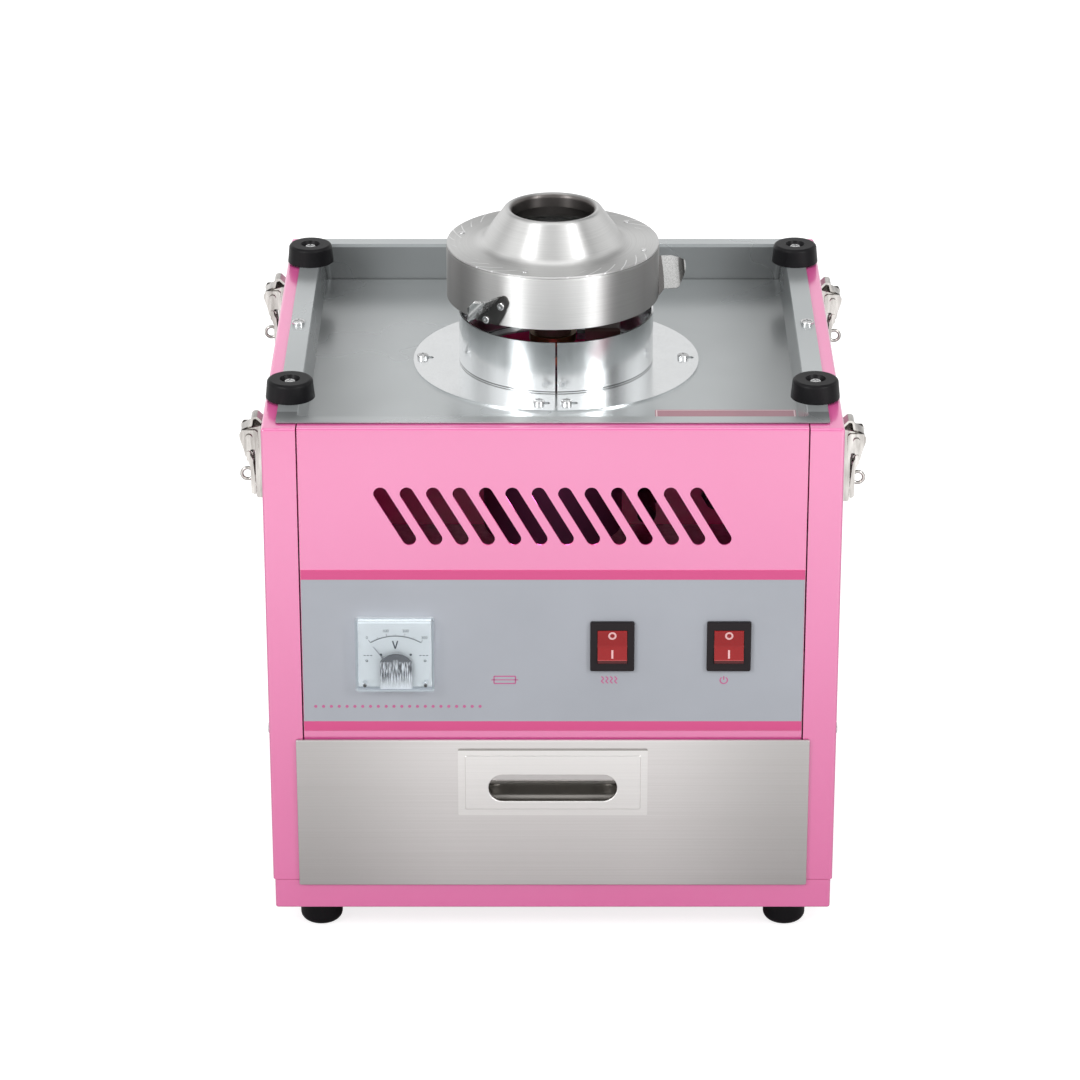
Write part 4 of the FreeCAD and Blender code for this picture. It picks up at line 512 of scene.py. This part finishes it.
def overlayFilm(values):
    low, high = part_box("control_overlay")
    material, tree, shader = newMaterial("overlayFilm", Coat_Weight=0.4, Coat_Roughness=0.3)
    grain = useGroup(tree, "grain", Scale=values["scale"])
    up = partsOf(tree, objectPlace(tree))["Z"]
    striped = sums(tree, "MAXIMUM", under(tree, up, low.z + values["stripeBottom"]),
                   over(tree, up, high.z - values["stripeTop"]))
    film = linear(*values["film"])
    uneven = mottled(tree, grain["Cloud"], film, darker(film, values["shade"]))
    dress(tree, shader, blendColour(tree, striped, uneven, values["stripe"]), grain["Cloud"],
          values["roughness"], values["swing"], grain["Grain"], values["bump"], mouldedSkin["relief"])
    return material


finishes["overlay_film"] = overlayFilm(panelPrint)

# A rocker: bright on its face, with painted shade in deep red on its sides and foot, and a painted
# highlight line between them.
rockerSkin = {"side": 0.9 * mm, "foot": 2.3 * mm, "line": 0.35 * mm, "face": (160, 26, 29),
              "skirt": (76, 11, 16), "edge": (196, 84, 84), "shade": 0.86, "roughness": 0.25,
              "swing": 0.05, "bump": 0.03}


def rockerPlastic(node, values):
    low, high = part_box(node)
    material, tree, shader = newMaterial(node + "Red", Specular_IOR_Level=0.35)
    grain = useGroup(tree, "grain", Scale=mouldedSkin["scale"])
    parts = partsOf(tree, objectPlace(tree))
    sideways = minus(tree, (high.x - low.x) / 2 - values["side"],
                     apart(tree, parts["X"], (low.x + high.x) / 2))
    near = sums(tree, "MINIMUM", sideways, minus(tree, parts["Z"], low.z + values["foot"]))
    red = linear(*values["face"])
    face = blendColour(tree, grain["Cloud"], red, darker(red, values["shade"]))
    # A painted highlight line along the border of the face, and painted shade on the sides and foot.
    edgeHighlighted = blendColour(tree, under(tree, near, values["line"]), face, values["edge"])
    skirted = blendColour(tree, under(tree, near, 0.0), edgeHighlighted, values["skirt"])
    dress(tree, shader, skirted, grain["Cloud"], values["roughness"], values["swing"],
          grain["Grain"], values["bump"], mouldedSkin["relief"])
    return material


for rocker in ("heat_rocker", "power_rocker"):
    finishes[rocker] = rockerPlastic(rocker, rockerSkin)

# Clear parts keep plain metallic and transmission.
clearSkin = {"scale": 400.0, "shade": 0.97, "swing": 0.01}
# Painted light along the meter cover's edges: the width at its sides and foot, the band at its top,
# and the glow.
meterRimGlow = {"width": 1.1 * mm, "top": 1.5 * mm, "glow": (0.13, 0.138, 0.142, 1.0)}


def clearMoulding(name, colour, roughness, ior):
    material, tree, shader = newMaterial(name, Transmission_Weight=1.0, Metallic=0.0, IOR=ior)
    grain = useGroup(tree, "grain", Scale=clearSkin["scale"])
    shade = blendColour(tree, grain["Cloud"], colour, darker(colour, clearSkin["shade"]))
    dress(tree, shader, shade, grain["Cloud"], roughness, clearSkin["swing"])
    return material


def paintedEdgeGlow(material, node, values):
    # Painted light: the edges of a clear moulding glow, in place of the light that its thick walls
    # carry.
    tree = material.node_tree
    shader = tree.nodes["Principled BSDF"]
    low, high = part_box(node)
    parts = partsOf(tree, objectPlace(tree))
    inward = minus(tree, (high.x - low.x) / 2, apart(tree, parts["X"], (low.x + high.x) / 2))
    sideways = under(tree, inward, values["width"])
    below = under(tree, parts["Z"], low.z + values["width"])
    above = over(tree, parts["Z"], high.z - values["top"])
    edge = sums(tree, "MAXIMUM", sideways, sums(tree, "MAXIMUM", below, above))
    glow = blendColour(tree, edge, (0, 0, 0, 1), values["glow"])
    tree.links.new(glow, shader.inputs["Emission Color"])
    shader.inputs["Emission Strength"].default_value = 1.0


finishes["meter_clear"] = clearMoulding("meterClear", (0.96, 0.98, 1.0, 1.0), roughness=0.03,
                                        ior=1.12)
paintedEdgeGlow(finishes["meter_clear"], "voltmeter_cover", meterRimGlow)
finishes["fuse_glass"] = clearMoulding("fuseGlass", (0.9, 0.93, 0.92, 1.0), roughness=0.05, ior=1.46)

for part in frame["record"]["subparts"]:
    owner = nodes[part["node"]]
    finish = part["node"] if part["node"] in finishes else part["material_slot"]
    owner.data.materials.clear()
    owner.data.materials.append(finishes[finish])
print("finishes on", len(nodes), "nodes")


# Inked marks: flat ribbons and discs in the panel's plane, each a list of points and of faces.
def strip(left, right):
    # Two equal rows of points, joined by four-sided faces.
    count = len(left)
    start = np.arange(count - 1)
    faces = np.stack([start, start + 1, start + count + 1, start + count], axis=1)
    return np.concatenate([left, right]), faces.tolist()


def ribbon(points, width):
    # A path widened by half the width to each side of its direction.
    points = np.asarray(points, float)
    along = np.gradient(points, axis=0)
    along /= np.linalg.norm(along, axis=1, keepdims=True)
    side = np.stack([-along[:, 1], along[:, 0]], axis=1) * width / 2
    return strip(points - side, points + side)


def arcLine(cx, cz, radius, first, last, width, steps=48):
    # Part of a circle, from one angle to another in degrees clockwise from the upright.
    turn = np.radians(np.linspace(first, last, steps))
    return ribbon(np.stack([cx + radius * np.sin(turn), cz + radius * np.cos(turn)], axis=1), width)


def bar(x0, z0, x1, z1, width):
    # A straight ribbon between two points.
    return ribbon(np.linspace((x0, z0), (x1, z1), 4), width)


def dot(cx, cz, radius, inner=0.02, steps=24):
    # A closed ring from the inner share of the radius out to the rim: nearly zero makes a disc.
    turn = np.linspace(0, 2 * np.pi, steps + 1)
    ring = np.stack([np.sin(turn), np.cos(turn)], axis=1) * radius
    return strip(ring + (cx, cz), ring * inner + (cx, cz))


def waves(cx, cz, width, height, count, thick, sway=0.55):
    # Rising heat: upright wavy lines side by side, each one and a half waves tall.
    climb = np.linspace(-height / 2, height / 2, 40)
    aside = sway * np.sin(climb / height * 3 * np.pi)
    places = np.linspace(-width / 2, width / 2, count)
    return [ribbon(np.stack([cx + place + aside, cz + climb], axis=1), thick) for place in places]


def number(text, cx, cz, size):
    # Plain figures in the built-in face, made a flat mesh and centred on a point.
    curve = bpy.data.curves.new("figures", "FONT")
    curve.body = text
    curve.size = size
    curve.align_x, curve.align_y = "CENTER", "CENTER"
    holder = bpy.data.objects.new("figures", curve)
    mesh = bpy.data.meshes.new_from_object(holder)
    points = np.zeros(len(mesh.vertices) * 3)
    mesh.vertices.foreach_get("co", points)
    faces = [list(face.vertices) for face in mesh.polygons]
    bpy.data.objects.remove(holder)
    bpy.data.meshes.remove(mesh)
    return points.reshape(-1, 3)[:, :2] + (cx, cz), faces


ink = {"thick": 0.04 * mm, "lift": 0.01 * mm, "before": 4 * mm, "scale": 2400.0, "shade": 0.9,
       "roughness": 0.5, "swing": 0.05}


def meshPiece(name, points, faces, material, body, thickness, target=None):
    # With a target, the flat mesh is first laid on that node along its own front to back line.
    mesh = bpy.data.meshes.new(name)
    mesh.from_pydata(np.asarray(points).tolist(), [], faces)
    mesh.update()
    mesh.validate()
    piece = bpy.data.objects.new(name, mesh)
    bpy.context.scene.collection.objects.link(piece)
    if target:
        laid = piece.modifiers.new("laid", "SHRINKWRAP")
        laid.wrap_method = "PROJECT"
        laid.use_project_y = True
        laid.target = target
        laid.offset = ink["lift"]
        shaped = piece.evaluated_get(bpy.context.evaluated_depsgraph_get())
        piece.data = bpy.data.meshes.new_from_object(shaped)
        piece.data.name = name
        piece.modifiers.clear()
    thick = piece.modifiers.new("thickness", "SOLIDIFY")
    thick.thickness = thickness
    thick.offset = 1.0
    piece.data.materials.clear()
    piece.data.materials.append(material)
    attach(piece, body)


def inkPiece(name, marks, surfaceY, material, body, target=None):
    # All the marks of one print as one mesh, just proud of the surface and facing the front.
    points = np.concatenate([part for part, group in marks]) * mm
    counts = np.cumsum([0] + [len(part) for part, group in marks])
    faces = [[int(corner + count) for corner in face]
             for (part, group), count in zip(marks, counts) for face in group]
    rings = [points[face] for face in faces]
    turned = [np.sum(ring[:, 0] * np.roll(ring[:, 1], -1) - np.roll(ring[:, 0], -1) * ring[:, 1]) < 0
              for ring in rings]
    faces = [face[::-1] if flip else face for face, flip in zip(faces, turned)]
    y = surfaceY - (ink["before"] if target else ink["lift"])
    placed = np.stack([points[:, 0], np.full(len(points), y), points[:, 1]], axis=1)
    meshPiece(name, placed, faces, material, body, ink["thick"], target)


def inkOf(name, red, green, blue):
    material, tree, shader = newMaterial(name)
    grain = useGroup(tree, "grain", Scale=ink["scale"])
    colour = linear(red, green, blue)
    uneven = blendColour(tree, grain["Grain"], colour, darker(colour, ink["shade"]))
    dress(tree, shader, uneven, grain["Cloud"], ink["roughness"], ink["swing"])
    return material


# The panel's small pictures, a fuse, rising heat and power, and its row of dots. Lengths in mm.
panelMarks = {"z": 166.8, "height": 4.6, "line": 0.75, "fuseX": -27.8, "fuseHalf": 6.2,
              "fuseLead": 1.6, "leadLine": 0.6, "heatX": 32.6, "heatWidth": 7.6, "heatLines": 4,
              "powerX": 98.9, "ringDrop": 0.2, "ringShare": 0.46, "ringGap": 34, "barShare": 0.52,
              "rowLeft": -137.5, "rowRight": -42.2, "rowZ": 149.8, "rowCount": 22, "rowDot": 0.95}


def panelInk(values):
    z, tall, line = values["z"], values["height"], values["line"]
    x, half, lead = values["fuseX"], values["fuseHalf"], values["fuseHalf"] + values["fuseLead"]
    marks = [bar(x - lead, z, x + lead, z, values["leadLine"])]
    marks += [bar(x - half, z + side * tall / 2, x + half, z + side * tall / 2, line)
              for side in (-1, 1)]
    marks += [bar(x + side * half, z - tall / 2, x + side * half, z + tall / 2, line)
              for side in (-1, 1)]
    marks += waves(values["heatX"], z, values["heatWidth"], tall, values["heatLines"], line)
    x, gap = values["powerX"], values["ringGap"]
    marks.append(arcLine(x, z - values["ringDrop"], tall * values["ringShare"], gap, 360 - gap, line))
    marks.append(bar(x, z, x, z + tall * values["barShare"], line))
    places = np.linspace(values["rowLeft"], values["rowRight"], values["rowCount"])
    marks += [dot(place, values["rowZ"], values["rowDot"]) for place in places]
    return marks


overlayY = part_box("control_overlay")[0].y
inkPiece("panel_print", panelInk(panelMarks), overlayY, inkOf("pinkInk", 206, 108, 156),
         "cabinet")
print("control panel printed")

# The voltmeter's scale, drawn round the needle's own axis. Lengths in mm.
dial = {"x": -90.5, "centreZ": 168.5, "arcRadius": 27.0, "arcHalf": 32.5, "line": 0.4,
        "divisions": 30, "tickLine": 0.28, "longTick": 2.0, "midTick": 1.3, "tick": 0.7,
        "figureSize": 2.5, "figureOut": 3.8, "letterLeft": 0.3, "letterZ": 190.0,
        "letterHalf": 1.45, "letterTall": 5.0, "letterLine": 0.8, "sideZ": 183.2, "dashOut": 14.2,
        "dashStep": 1.9, "dashHalf": 0.6, "dashLine": 0.5, "ringOut": 16.8, "ringDrop": 3.4,
        "ringRadius": 0.8, "ringInner": 0.5, "spotOut": 8.6, "spotRise": 0.5, "spotRadius": 0.75}


def dialInk(values):
    x, z = values["x"], values["centreZ"]
    reach, half = values["arcRadius"], values["arcHalf"]
    marks = [arcLine(x, z, reach, -half, half, values["line"])]
    for step in range(values["divisions"] + 1):
        angle = math.radians(-half + 2 * half * step / values["divisions"])
        east, up = math.sin(angle), math.cos(angle)
        size = "longTick" if step % 10 == 0 else "midTick" if step % 5 == 0 else "tick"
        outer = reach + values[size]
        marks.append(bar(x + reach * east, z + reach * up, x + outer * east, z + outer * up,
                         values["tickLine"]))
        if step % 10 == 0:
            out = reach + values["figureOut"]
            marks.append(number(str(step * 10), x + out * east, z + out * up, values["figureSize"]))
    middle, tall = x - values["letterLeft"], values["letterTall"] / 2
    for side in (-1, 1):
        marks.append(bar(middle + side * values["letterHalf"], values["letterZ"] + tall,
                         middle, values["letterZ"] - tall, values["letterLine"]))
    low, dash = values["sideZ"], values["dashHalf"]
    for side in (-1, 1):
        places = [x + side * (values["dashOut"] + step * values["dashStep"]) for step in range(3)]
        marks += [bar(place - dash, low, place + dash, low, values["dashLine"]) for place in places]
        marks.append(dot(x + side * values["ringOut"], low - values["ringDrop"],
                         values["ringRadius"], values["ringInner"]))
        marks.append(dot(x + side * values["spotOut"], low + values["spotRise"], values["spotRadius"]))
    return marks


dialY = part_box("voltmeter_dial")[0].y
inkPiece("dial_print", dialInk(dial), dialY, inkOf("scaleInk", 70, 76, 82), "cabinet")

# The shield in front of the needle's pivot: a dark arch with painted slanting glints, over a pale
# fluted plate, in mm.
shield = {"x": -90.4, "half": 9.2, "bottom": 163.4, "springing": 180.4, "crest": 185.4,
          "ahead": 2.75, "thick": 0.3, "columns": 49, "rows": 25, "fade": 9.0, "notchHalf": 1.5,
          "notchTop": 1.4, "flutes": (2300.0, 0.0, 150.0), "grooveFrom": 0.42, "grooveTo": 0.52,
          "glints": 4200.0, "glintFrom": 0.5, "glintTo": 0.95, "roughness": 0.4, "swing": 0.1,
          "bump": 0.3, "relief": 0.3, "archDark": (56, 58, 62), "glintTone": (140, 144, 150),
          "plate": (206, 210, 213), "groove": (70, 72, 76)}


def shieldMaterial(values):
    material, tree, shader = newMaterial("meterShield")
    place = objectPlace(tree)
    parts = partsOf(tree, place)
    flutes = noise(tree, vectorSums(tree, "MULTIPLY", place, values["flutes"]), 1.0, 2.0)["Fac"]
    faded = mapped(tree, parts["Z"], values["bottom"] * mm, (values["bottom"] + values["fade"]) * mm)
    # Painted reflection: pale slanting stripes across the dark arch.
    glints = sums(tree, "SINE", times(tree, minus(tree, parts["X"], parts["Z"]), values["glints"]))
    arch = mottled(tree, glints, values["archDark"], values["glintTone"], values["glintFrom"],
                   values["glintTo"])
    streak = times(tree, ramp(tree, flutes, values["grooveFrom"], values["grooveTo"]), faded)
    fluted = blendColour(tree, streak, values["plate"], values["groove"])
    middle = under(tree, apart(tree, parts["X"], values["x"] * mm), values["notchHalf"] * mm)
    notchTop = (values["springing"] + values["notchTop"]) * mm
    notch = times(tree, middle, under(tree, parts["Z"], notchTop))
    upper = times(tree, over(tree, parts["Z"], values["springing"] * mm), minus(tree, 1.0, notch))
    dress(tree, shader, blendColour(tree, upper, fluted, arch), flutes, values["roughness"],
          values["swing"], flutes, values["bump"], values["relief"] * mm)
    return material


def makeShield(values):
    # A grid over width u and height v: each column runs from the level bottom to a circular arch.
    columns, rows = values["columns"], values["rows"]
    u, v = np.meshgrid(np.linspace(-1, 1, columns), np.linspace(0, 1, rows), indexing="ij")
    half, rise = values["half"], values["crest"] - values["springing"]
    radius = (half ** 2 + rise ** 2) / (2 * rise)
    arch = values["crest"] - radius + np.sqrt(radius ** 2 - (u * half) ** 2)
    x = values["x"] + u * half
    z = values["bottom"] + v * (arch - values["bottom"])
    y = np.full(x.shape, dialY / mm - values["ahead"])
    points = np.stack([x, y, z], axis=-1).reshape(-1, 3) * mm
    column, row = np.meshgrid(np.arange(columns - 1), np.arange(rows - 1), indexing="ij")
    first = (column * rows + row).ravel()
    faces = np.stack([first, first + rows, first + rows + 1, first + 1], axis=1).tolist()
    meshPiece("meter_shield", points, faces, shieldMaterial(values), "cabinet",
              values["thick"] * mm)


makeShield(shield)

# The ends of the two screws that hold the meter's cover, in mm.
coverScrews = {"left": -108.5, "right": -73.5, "z": 165.9, "radius": 1.05}
screwDots = [dot(coverScrews[side], coverScrews["z"], coverScrews["radius"])
             for side in ("left", "right")]
inkPiece("meter_screws", screwDots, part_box("voltmeter_cover")[0].y, inkOf("screwInk", 58, 58, 60),
         "cabinet")
print("voltmeter drawn")

# Off and on marks on the two rockers, in mm.
rockerMarks = {"ringZ": 196.0, "ringRadius": 2.4, "ringInner": 0.56, "barLow": 182.5,
               "barHigh": 187.2, "barWidth": 1.1}
paleInk = inkOf("paleInk", 246, 196, 196)


def rockerInk(node, values):
    low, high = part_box(node)
    x = (low.x + high.x) / 2 / mm
    marks = [dot(x, values["ringZ"], values["ringRadius"], values["ringInner"]),
             bar(x, values["barLow"], x, values["barHigh"], values["barWidth"])]
    inkPiece(node + "_marks", marks, low.y, paleInk, node, nodes[node])


rockerInk("heat_rocker", rockerMarks)
rockerInk("power_rocker", rockerMarks)
print("rockers marked")

# A plain coloured strip of film on the tray's floor, in mm.
trayStrip = {"left": 59.5, "right": 141.5, "front": 56.0, "back": 80.0, "corner": 1.5,
             "thick": 0.12, "gap": 0.02, "probeX": 100.0, "probeY": 70.0, "borderFrom": 0.5,
             "borderTo": 1.3, "film": (166, 116, 128), "filmDark": (156, 106, 118),
             "border": (214, 190, 194), "scale": 1500.0, "roughness": 0.4, "swing": 0.05}


def stripMaterial(values, low, high):
    material, tree, shader = newMaterial("stripFilm", Coat_Weight=0.3, Coat_Roughness=0.15)
    grain = useGroup(tree, "grain", Scale=values["scale"])
    parts = partsOf(tree, objectPlace(tree))
    edges = [minus(tree, (last - first) / 2, apart(tree, parts[axis], (first + last) / 2))
             for axis, first, last in zip("XY", low, high)]
    near = sums(tree, "MINIMUM", *edges)
    border = times(tree, over(tree, near, values["borderFrom"] * mm),
                   under(tree, near, values["borderTo"] * mm))
    film = blendColour(tree, grain["Cloud"], values["film"], values["filmDark"])
    dress(tree, shader, blendColour(tree, border, film, values["border"]), grain["Cloud"],
          values["roughness"], values["swing"])
    return material


def trayFloor(values):
    # The height of the tray's floor, found from straight above.
    bpy.context.view_layer.update()
    above = (values["probeX"] * mm, frontY + values["probeY"] * mm, 1.0)
    return nodes["top_tray"].ray_cast(above, (0, 0, -1))[1].z


def makeTrayStrip(values):
    # A flat plate whose outline is a rectangle with its four corners rounded: each corner a
    # quarter circle.
    corner = values["corner"]
    x0, x1 = values["left"], values["right"]
    y0, y1 = frontY / mm + values["front"], frontY / mm + values["back"]
    centres = ((x1 - corner, y1 - corner), (x0 + corner, y1 - corner),
               (x0 + corner, y0 + corner), (x1 - corner, y0 + corner))
    arcs = []
    for quarter, (cx, cy) in enumerate(centres):
        angle = np.radians(np.arange(0, 91, 10) + 90 * quarter)
        arcs.append(np.stack([cx + corner * np.cos(angle), cy + corner * np.sin(angle)], axis=1))
    outline = np.concatenate(arcs)
    height = np.full(len(outline), trayFloor(values) + values["gap"] * mm)
    material = stripMaterial(values, (x0 * mm, y0 * mm), (x1 * mm, y1 * mm))
    meshPiece("tray_strip", np.column_stack([outline * mm, height]), [list(range(len(outline)))],
              material, "cabinet", values["thick"] * mm)


makeTrayStrip(trayStrip)
print("tray strip laid")

# Light: a studio of soft boxes that polished metal sees round the object. Each entry gives a place
# round the turn, 0 to 1 starting behind the object, then how bright the low boxes, the high boxes
# and the floor are there.
around = [
    (0.0, 0.62, 0.25, 0.3), (0.083, 0.75, 0.2, 0.3), (0.153, 0.7, 0.5, 0.3), (0.2, 0.5, 1.0, 0.2),
    (0.245, 0.5, 1.0, 0.15), (0.295, 0.8, 0.9, 0.85), (0.333, 0.9, 0.7, 0.4), (0.39, 1.0, 0.6, 0.4),
    (0.425, 1.0, 0.45, 0.75), (0.467, 1.0, 0.3, 0.5), (0.522, 0.95, 0.25, 0.5),
    (0.556, 0.9, 0.7, 1.0), (0.589, 0.8, 1.0, 1.0), (0.661, 0.8, 0.7, 1.0), (0.694, 0.1, 0.15, 0.2),
    (0.778, 0.7, 1.0, 0.1), (0.819, 0.8, 0.5, 0.2), (0.917, 0.5, 0.15, 0.3), (1.0, 0.62, 0.25, 0.3)]
sky = {"fill": 0.6, "mirror": 1.5, "zenith": 0.3, "rowsLow": 0.42, "rowsHigh": 0.58,
       "zenithLow": 0.7, "zenithHigh": 0.9}


def boxRow(tree, circle, column):
    # One row of soft boxes as a ramp over the whole turn.
    row = addNode(tree, "ShaderNodeValToRGB", {"Fac": circle})
    stops = row.color_ramp.elements
    while len(stops) < len(around):
        stops.new(0.5)
    for stop, entry in zip(stops, around):
        stop.position = entry[0]
    for stop, entry in zip(stops, around):
        stop.color = (entry[column], entry[column], entry[column], 1)
    return row.outputs["Color"]


def roundTurn(tree, parts):
    # The place round the turn, 0 to 1, of a direction given by its three parts.
    turn = sums(tree, "ARCTAN2", parts["X"], times(tree, parts["Y"], -1.0))
    return mapped(tree, turn, -math.pi, math.pi)


def makeWorld(values):
    world = bpy.data.worlds.new("studio")
    bpy.context.scene.world = world
    world.use_nodes = True
    tree = world.node_tree
    path = addNode(tree, "ShaderNodeLightPath").outputs
    parts = partsOf(tree, addNode(tree, "ShaderNodeTexCoord").outputs["Generated"])
    low, high = [boxRow(tree, roundTurn(tree, parts), column) for column in (1, 2)]
    rows = blendColour(tree, ramp(tree, parts["Z"], values["rowsLow"], values["rowsHigh"]), low, high)
    overhead = ramp(tree, parts["Z"], values["zenithLow"], values["zenithHigh"])
    zenith = values["zenith"]
    mirrored = blendColour(tree, overhead, rows, (zenith, zenith, zenith, 1))
    seen, shone, lit = [
        addNode(tree, "ShaderNodeBackground", {"Color": colour, "Strength": strength}).outputs[0]
        for colour, strength in (((1, 1, 1, 1), 1.0), (mirrored, values["mirror"]),
                                 ((1, 1, 1, 1), values["fill"]))]
    glossy = addNode(tree, "ShaderNodeMixShader", {0: path["Is Glossy Ray"], 1: lit, 2: shone})
    through = sums(tree, "MAXIMUM", path["Is Camera Ray"], path["Is Transmission Ray"])
    whole = addNode(tree, "ShaderNodeMixShader", {0: through, 1: glossy.outputs[0], 2: seen})
    tree.links.new(whole.outputs[0], tree.nodes["World Output"].inputs["Surface"])


makeWorld(sky)

# Each lamp: its place, its size, its power, the point it is aimed at, and whether metal sees it.
lamps = {
    "keyBox": ((-1.4, -1.55, 1.4), (0.6, 0.9), 17.2, (0, 0, 0.25), True),
    "sideBox": ((1.5, -1.42, 1.4), (0.5, 0.9), 15.0, (0, 0, 0.25), True),
    "topBox": ((0.0, -0.1, 1.7), (1.1, 0.8), 4.4, (0, 0, 0.25), True),
    "backBox": ((-0.3, 1.9, 0.45), (1.2, 0.7), 11.0, (0, 0, 0.2), False)}


def softBox(name, place, size, power, target, mirrored):
    data = bpy.data.lights.new(name, "AREA")
    data.shape = "RECTANGLE"
    data.size, data.size_y = size
    data.energy = power
    lamp = bpy.data.objects.new(name, data)
    lamp.location = place
    aim = np.array(target) - np.array(place)
    flat = math.hypot(aim[0], aim[1])
    lamp.rotation_euler = (math.atan2(flat, -aim[2]), 0, math.atan2(aim[1], aim[0]) - math.pi / 2)
    lamp.visible_glossy = mirrored
    bpy.context.scene.collection.objects.link(lamp)


for name, values in lamps.items():
    softBox(name, *values)

inner = {"power": 0.12, "colour": (1.0, 0.15, 0.5), "size": 0.02, "behind": 0.05, "below": 0.04}


def insideGlow(values):
    # What comes in through the vents and is thrown about between the casing's painted walls.
    data = bpy.data.lights.new("insideGlow", "POINT")
    data.energy = values["power"]
    data.color = values["colour"]
    data.shadow_soft_size = values["size"]
    lamp = bpy.data.objects.new("insideGlow", data)
    low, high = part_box("front_panel")
    lamp.location = ((low.x + high.x) / 2, low.y + values["behind"], high.z - values["below"])
    bpy.context.scene.collection.objects.link(lamp)


insideGlow(inner)

# The pale floor. Its places are metres from the middle, or shares of the turn from the front.
ground = {"reach": 6.0, "albedo": 0.45, "seen": 0.8, "sweep": 1.3, "footFrom": 0.17, "footTo": 0.9,
          "frontFrom": 0.15, "frontTo": 0.21, "aside": 0.25, "far": 1.8, "farFrom": 0.95, "farTo": 1.3}


def makeFloor(values):
    # White to the camera where nothing shades it. What shines off the object sees it fade towards
    # the object's foot, and further out light up below each soft box.
    reach, least, albedo = values["reach"], values["aside"], values["albedo"]
    mesh = bpy.data.meshes.new("floor")
    corners = [(-reach, -reach, 0), (reach, -reach, 0), (reach, reach, 0), (-reach, reach, 0)]
    mesh.from_pydata(corners, [], [(0, 1, 2, 3)])
    floor = bpy.data.objects.new("floor", mesh)
    bpy.context.scene.collection.objects.link(floor)
    material = bpy.data.materials.new("paleFloor")
    material.use_nodes = True
    tree = material.node_tree
    tree.nodes.clear()
    path = addNode(tree, "ShaderNodeLightPath").outputs
    place = objectPlace(tree)
    away = vectorSums(tree, "LENGTH", place)
    turn = roundTurn(tree, partsOf(tree, place))
    front = ramp(tree, apart(tree, turn, 0.5), values["frontFrom"], values["frontTo"],
                 (1, 1, 1, 1), (least, least, least, 1))
    foot = times(tree, ramp(tree, away, values["footFrom"], values["footTo"]), front)
    boxes = times(tree, boxRow(tree, turn, 3), values["far"])
    fade = blendValue(tree, ramp(tree, away, values["farFrom"], values["farTo"]),
                      times(tree, foot, values["sweep"]), boxes)
    direct = sums(tree, "MAXIMUM", path["Is Camera Ray"], path["Is Transmission Ray"])
    shone = times(tree, path["Is Glossy Ray"], fade)
    seen = sums(tree, "MAXIMUM", times(tree, direct, values["seen"]), shone)
    matt = addNode(tree, "ShaderNodeBsdfDiffuse", {"Color": (albedo, albedo, albedo, 1)})
    glow = addNode(tree, "ShaderNodeEmission", {"Color": (1, 1, 1, 1), "Strength": seen})
    whole = addNode(tree, "ShaderNodeAddShader", {0: matt.outputs[0], 1: glow.outputs[0]})
    addNode(tree, "ShaderNodeOutputMaterial", {"Surface": whole.outputs[0]})
    mesh.materials.append(material)


makeFloor(ground)
print("studio lit")
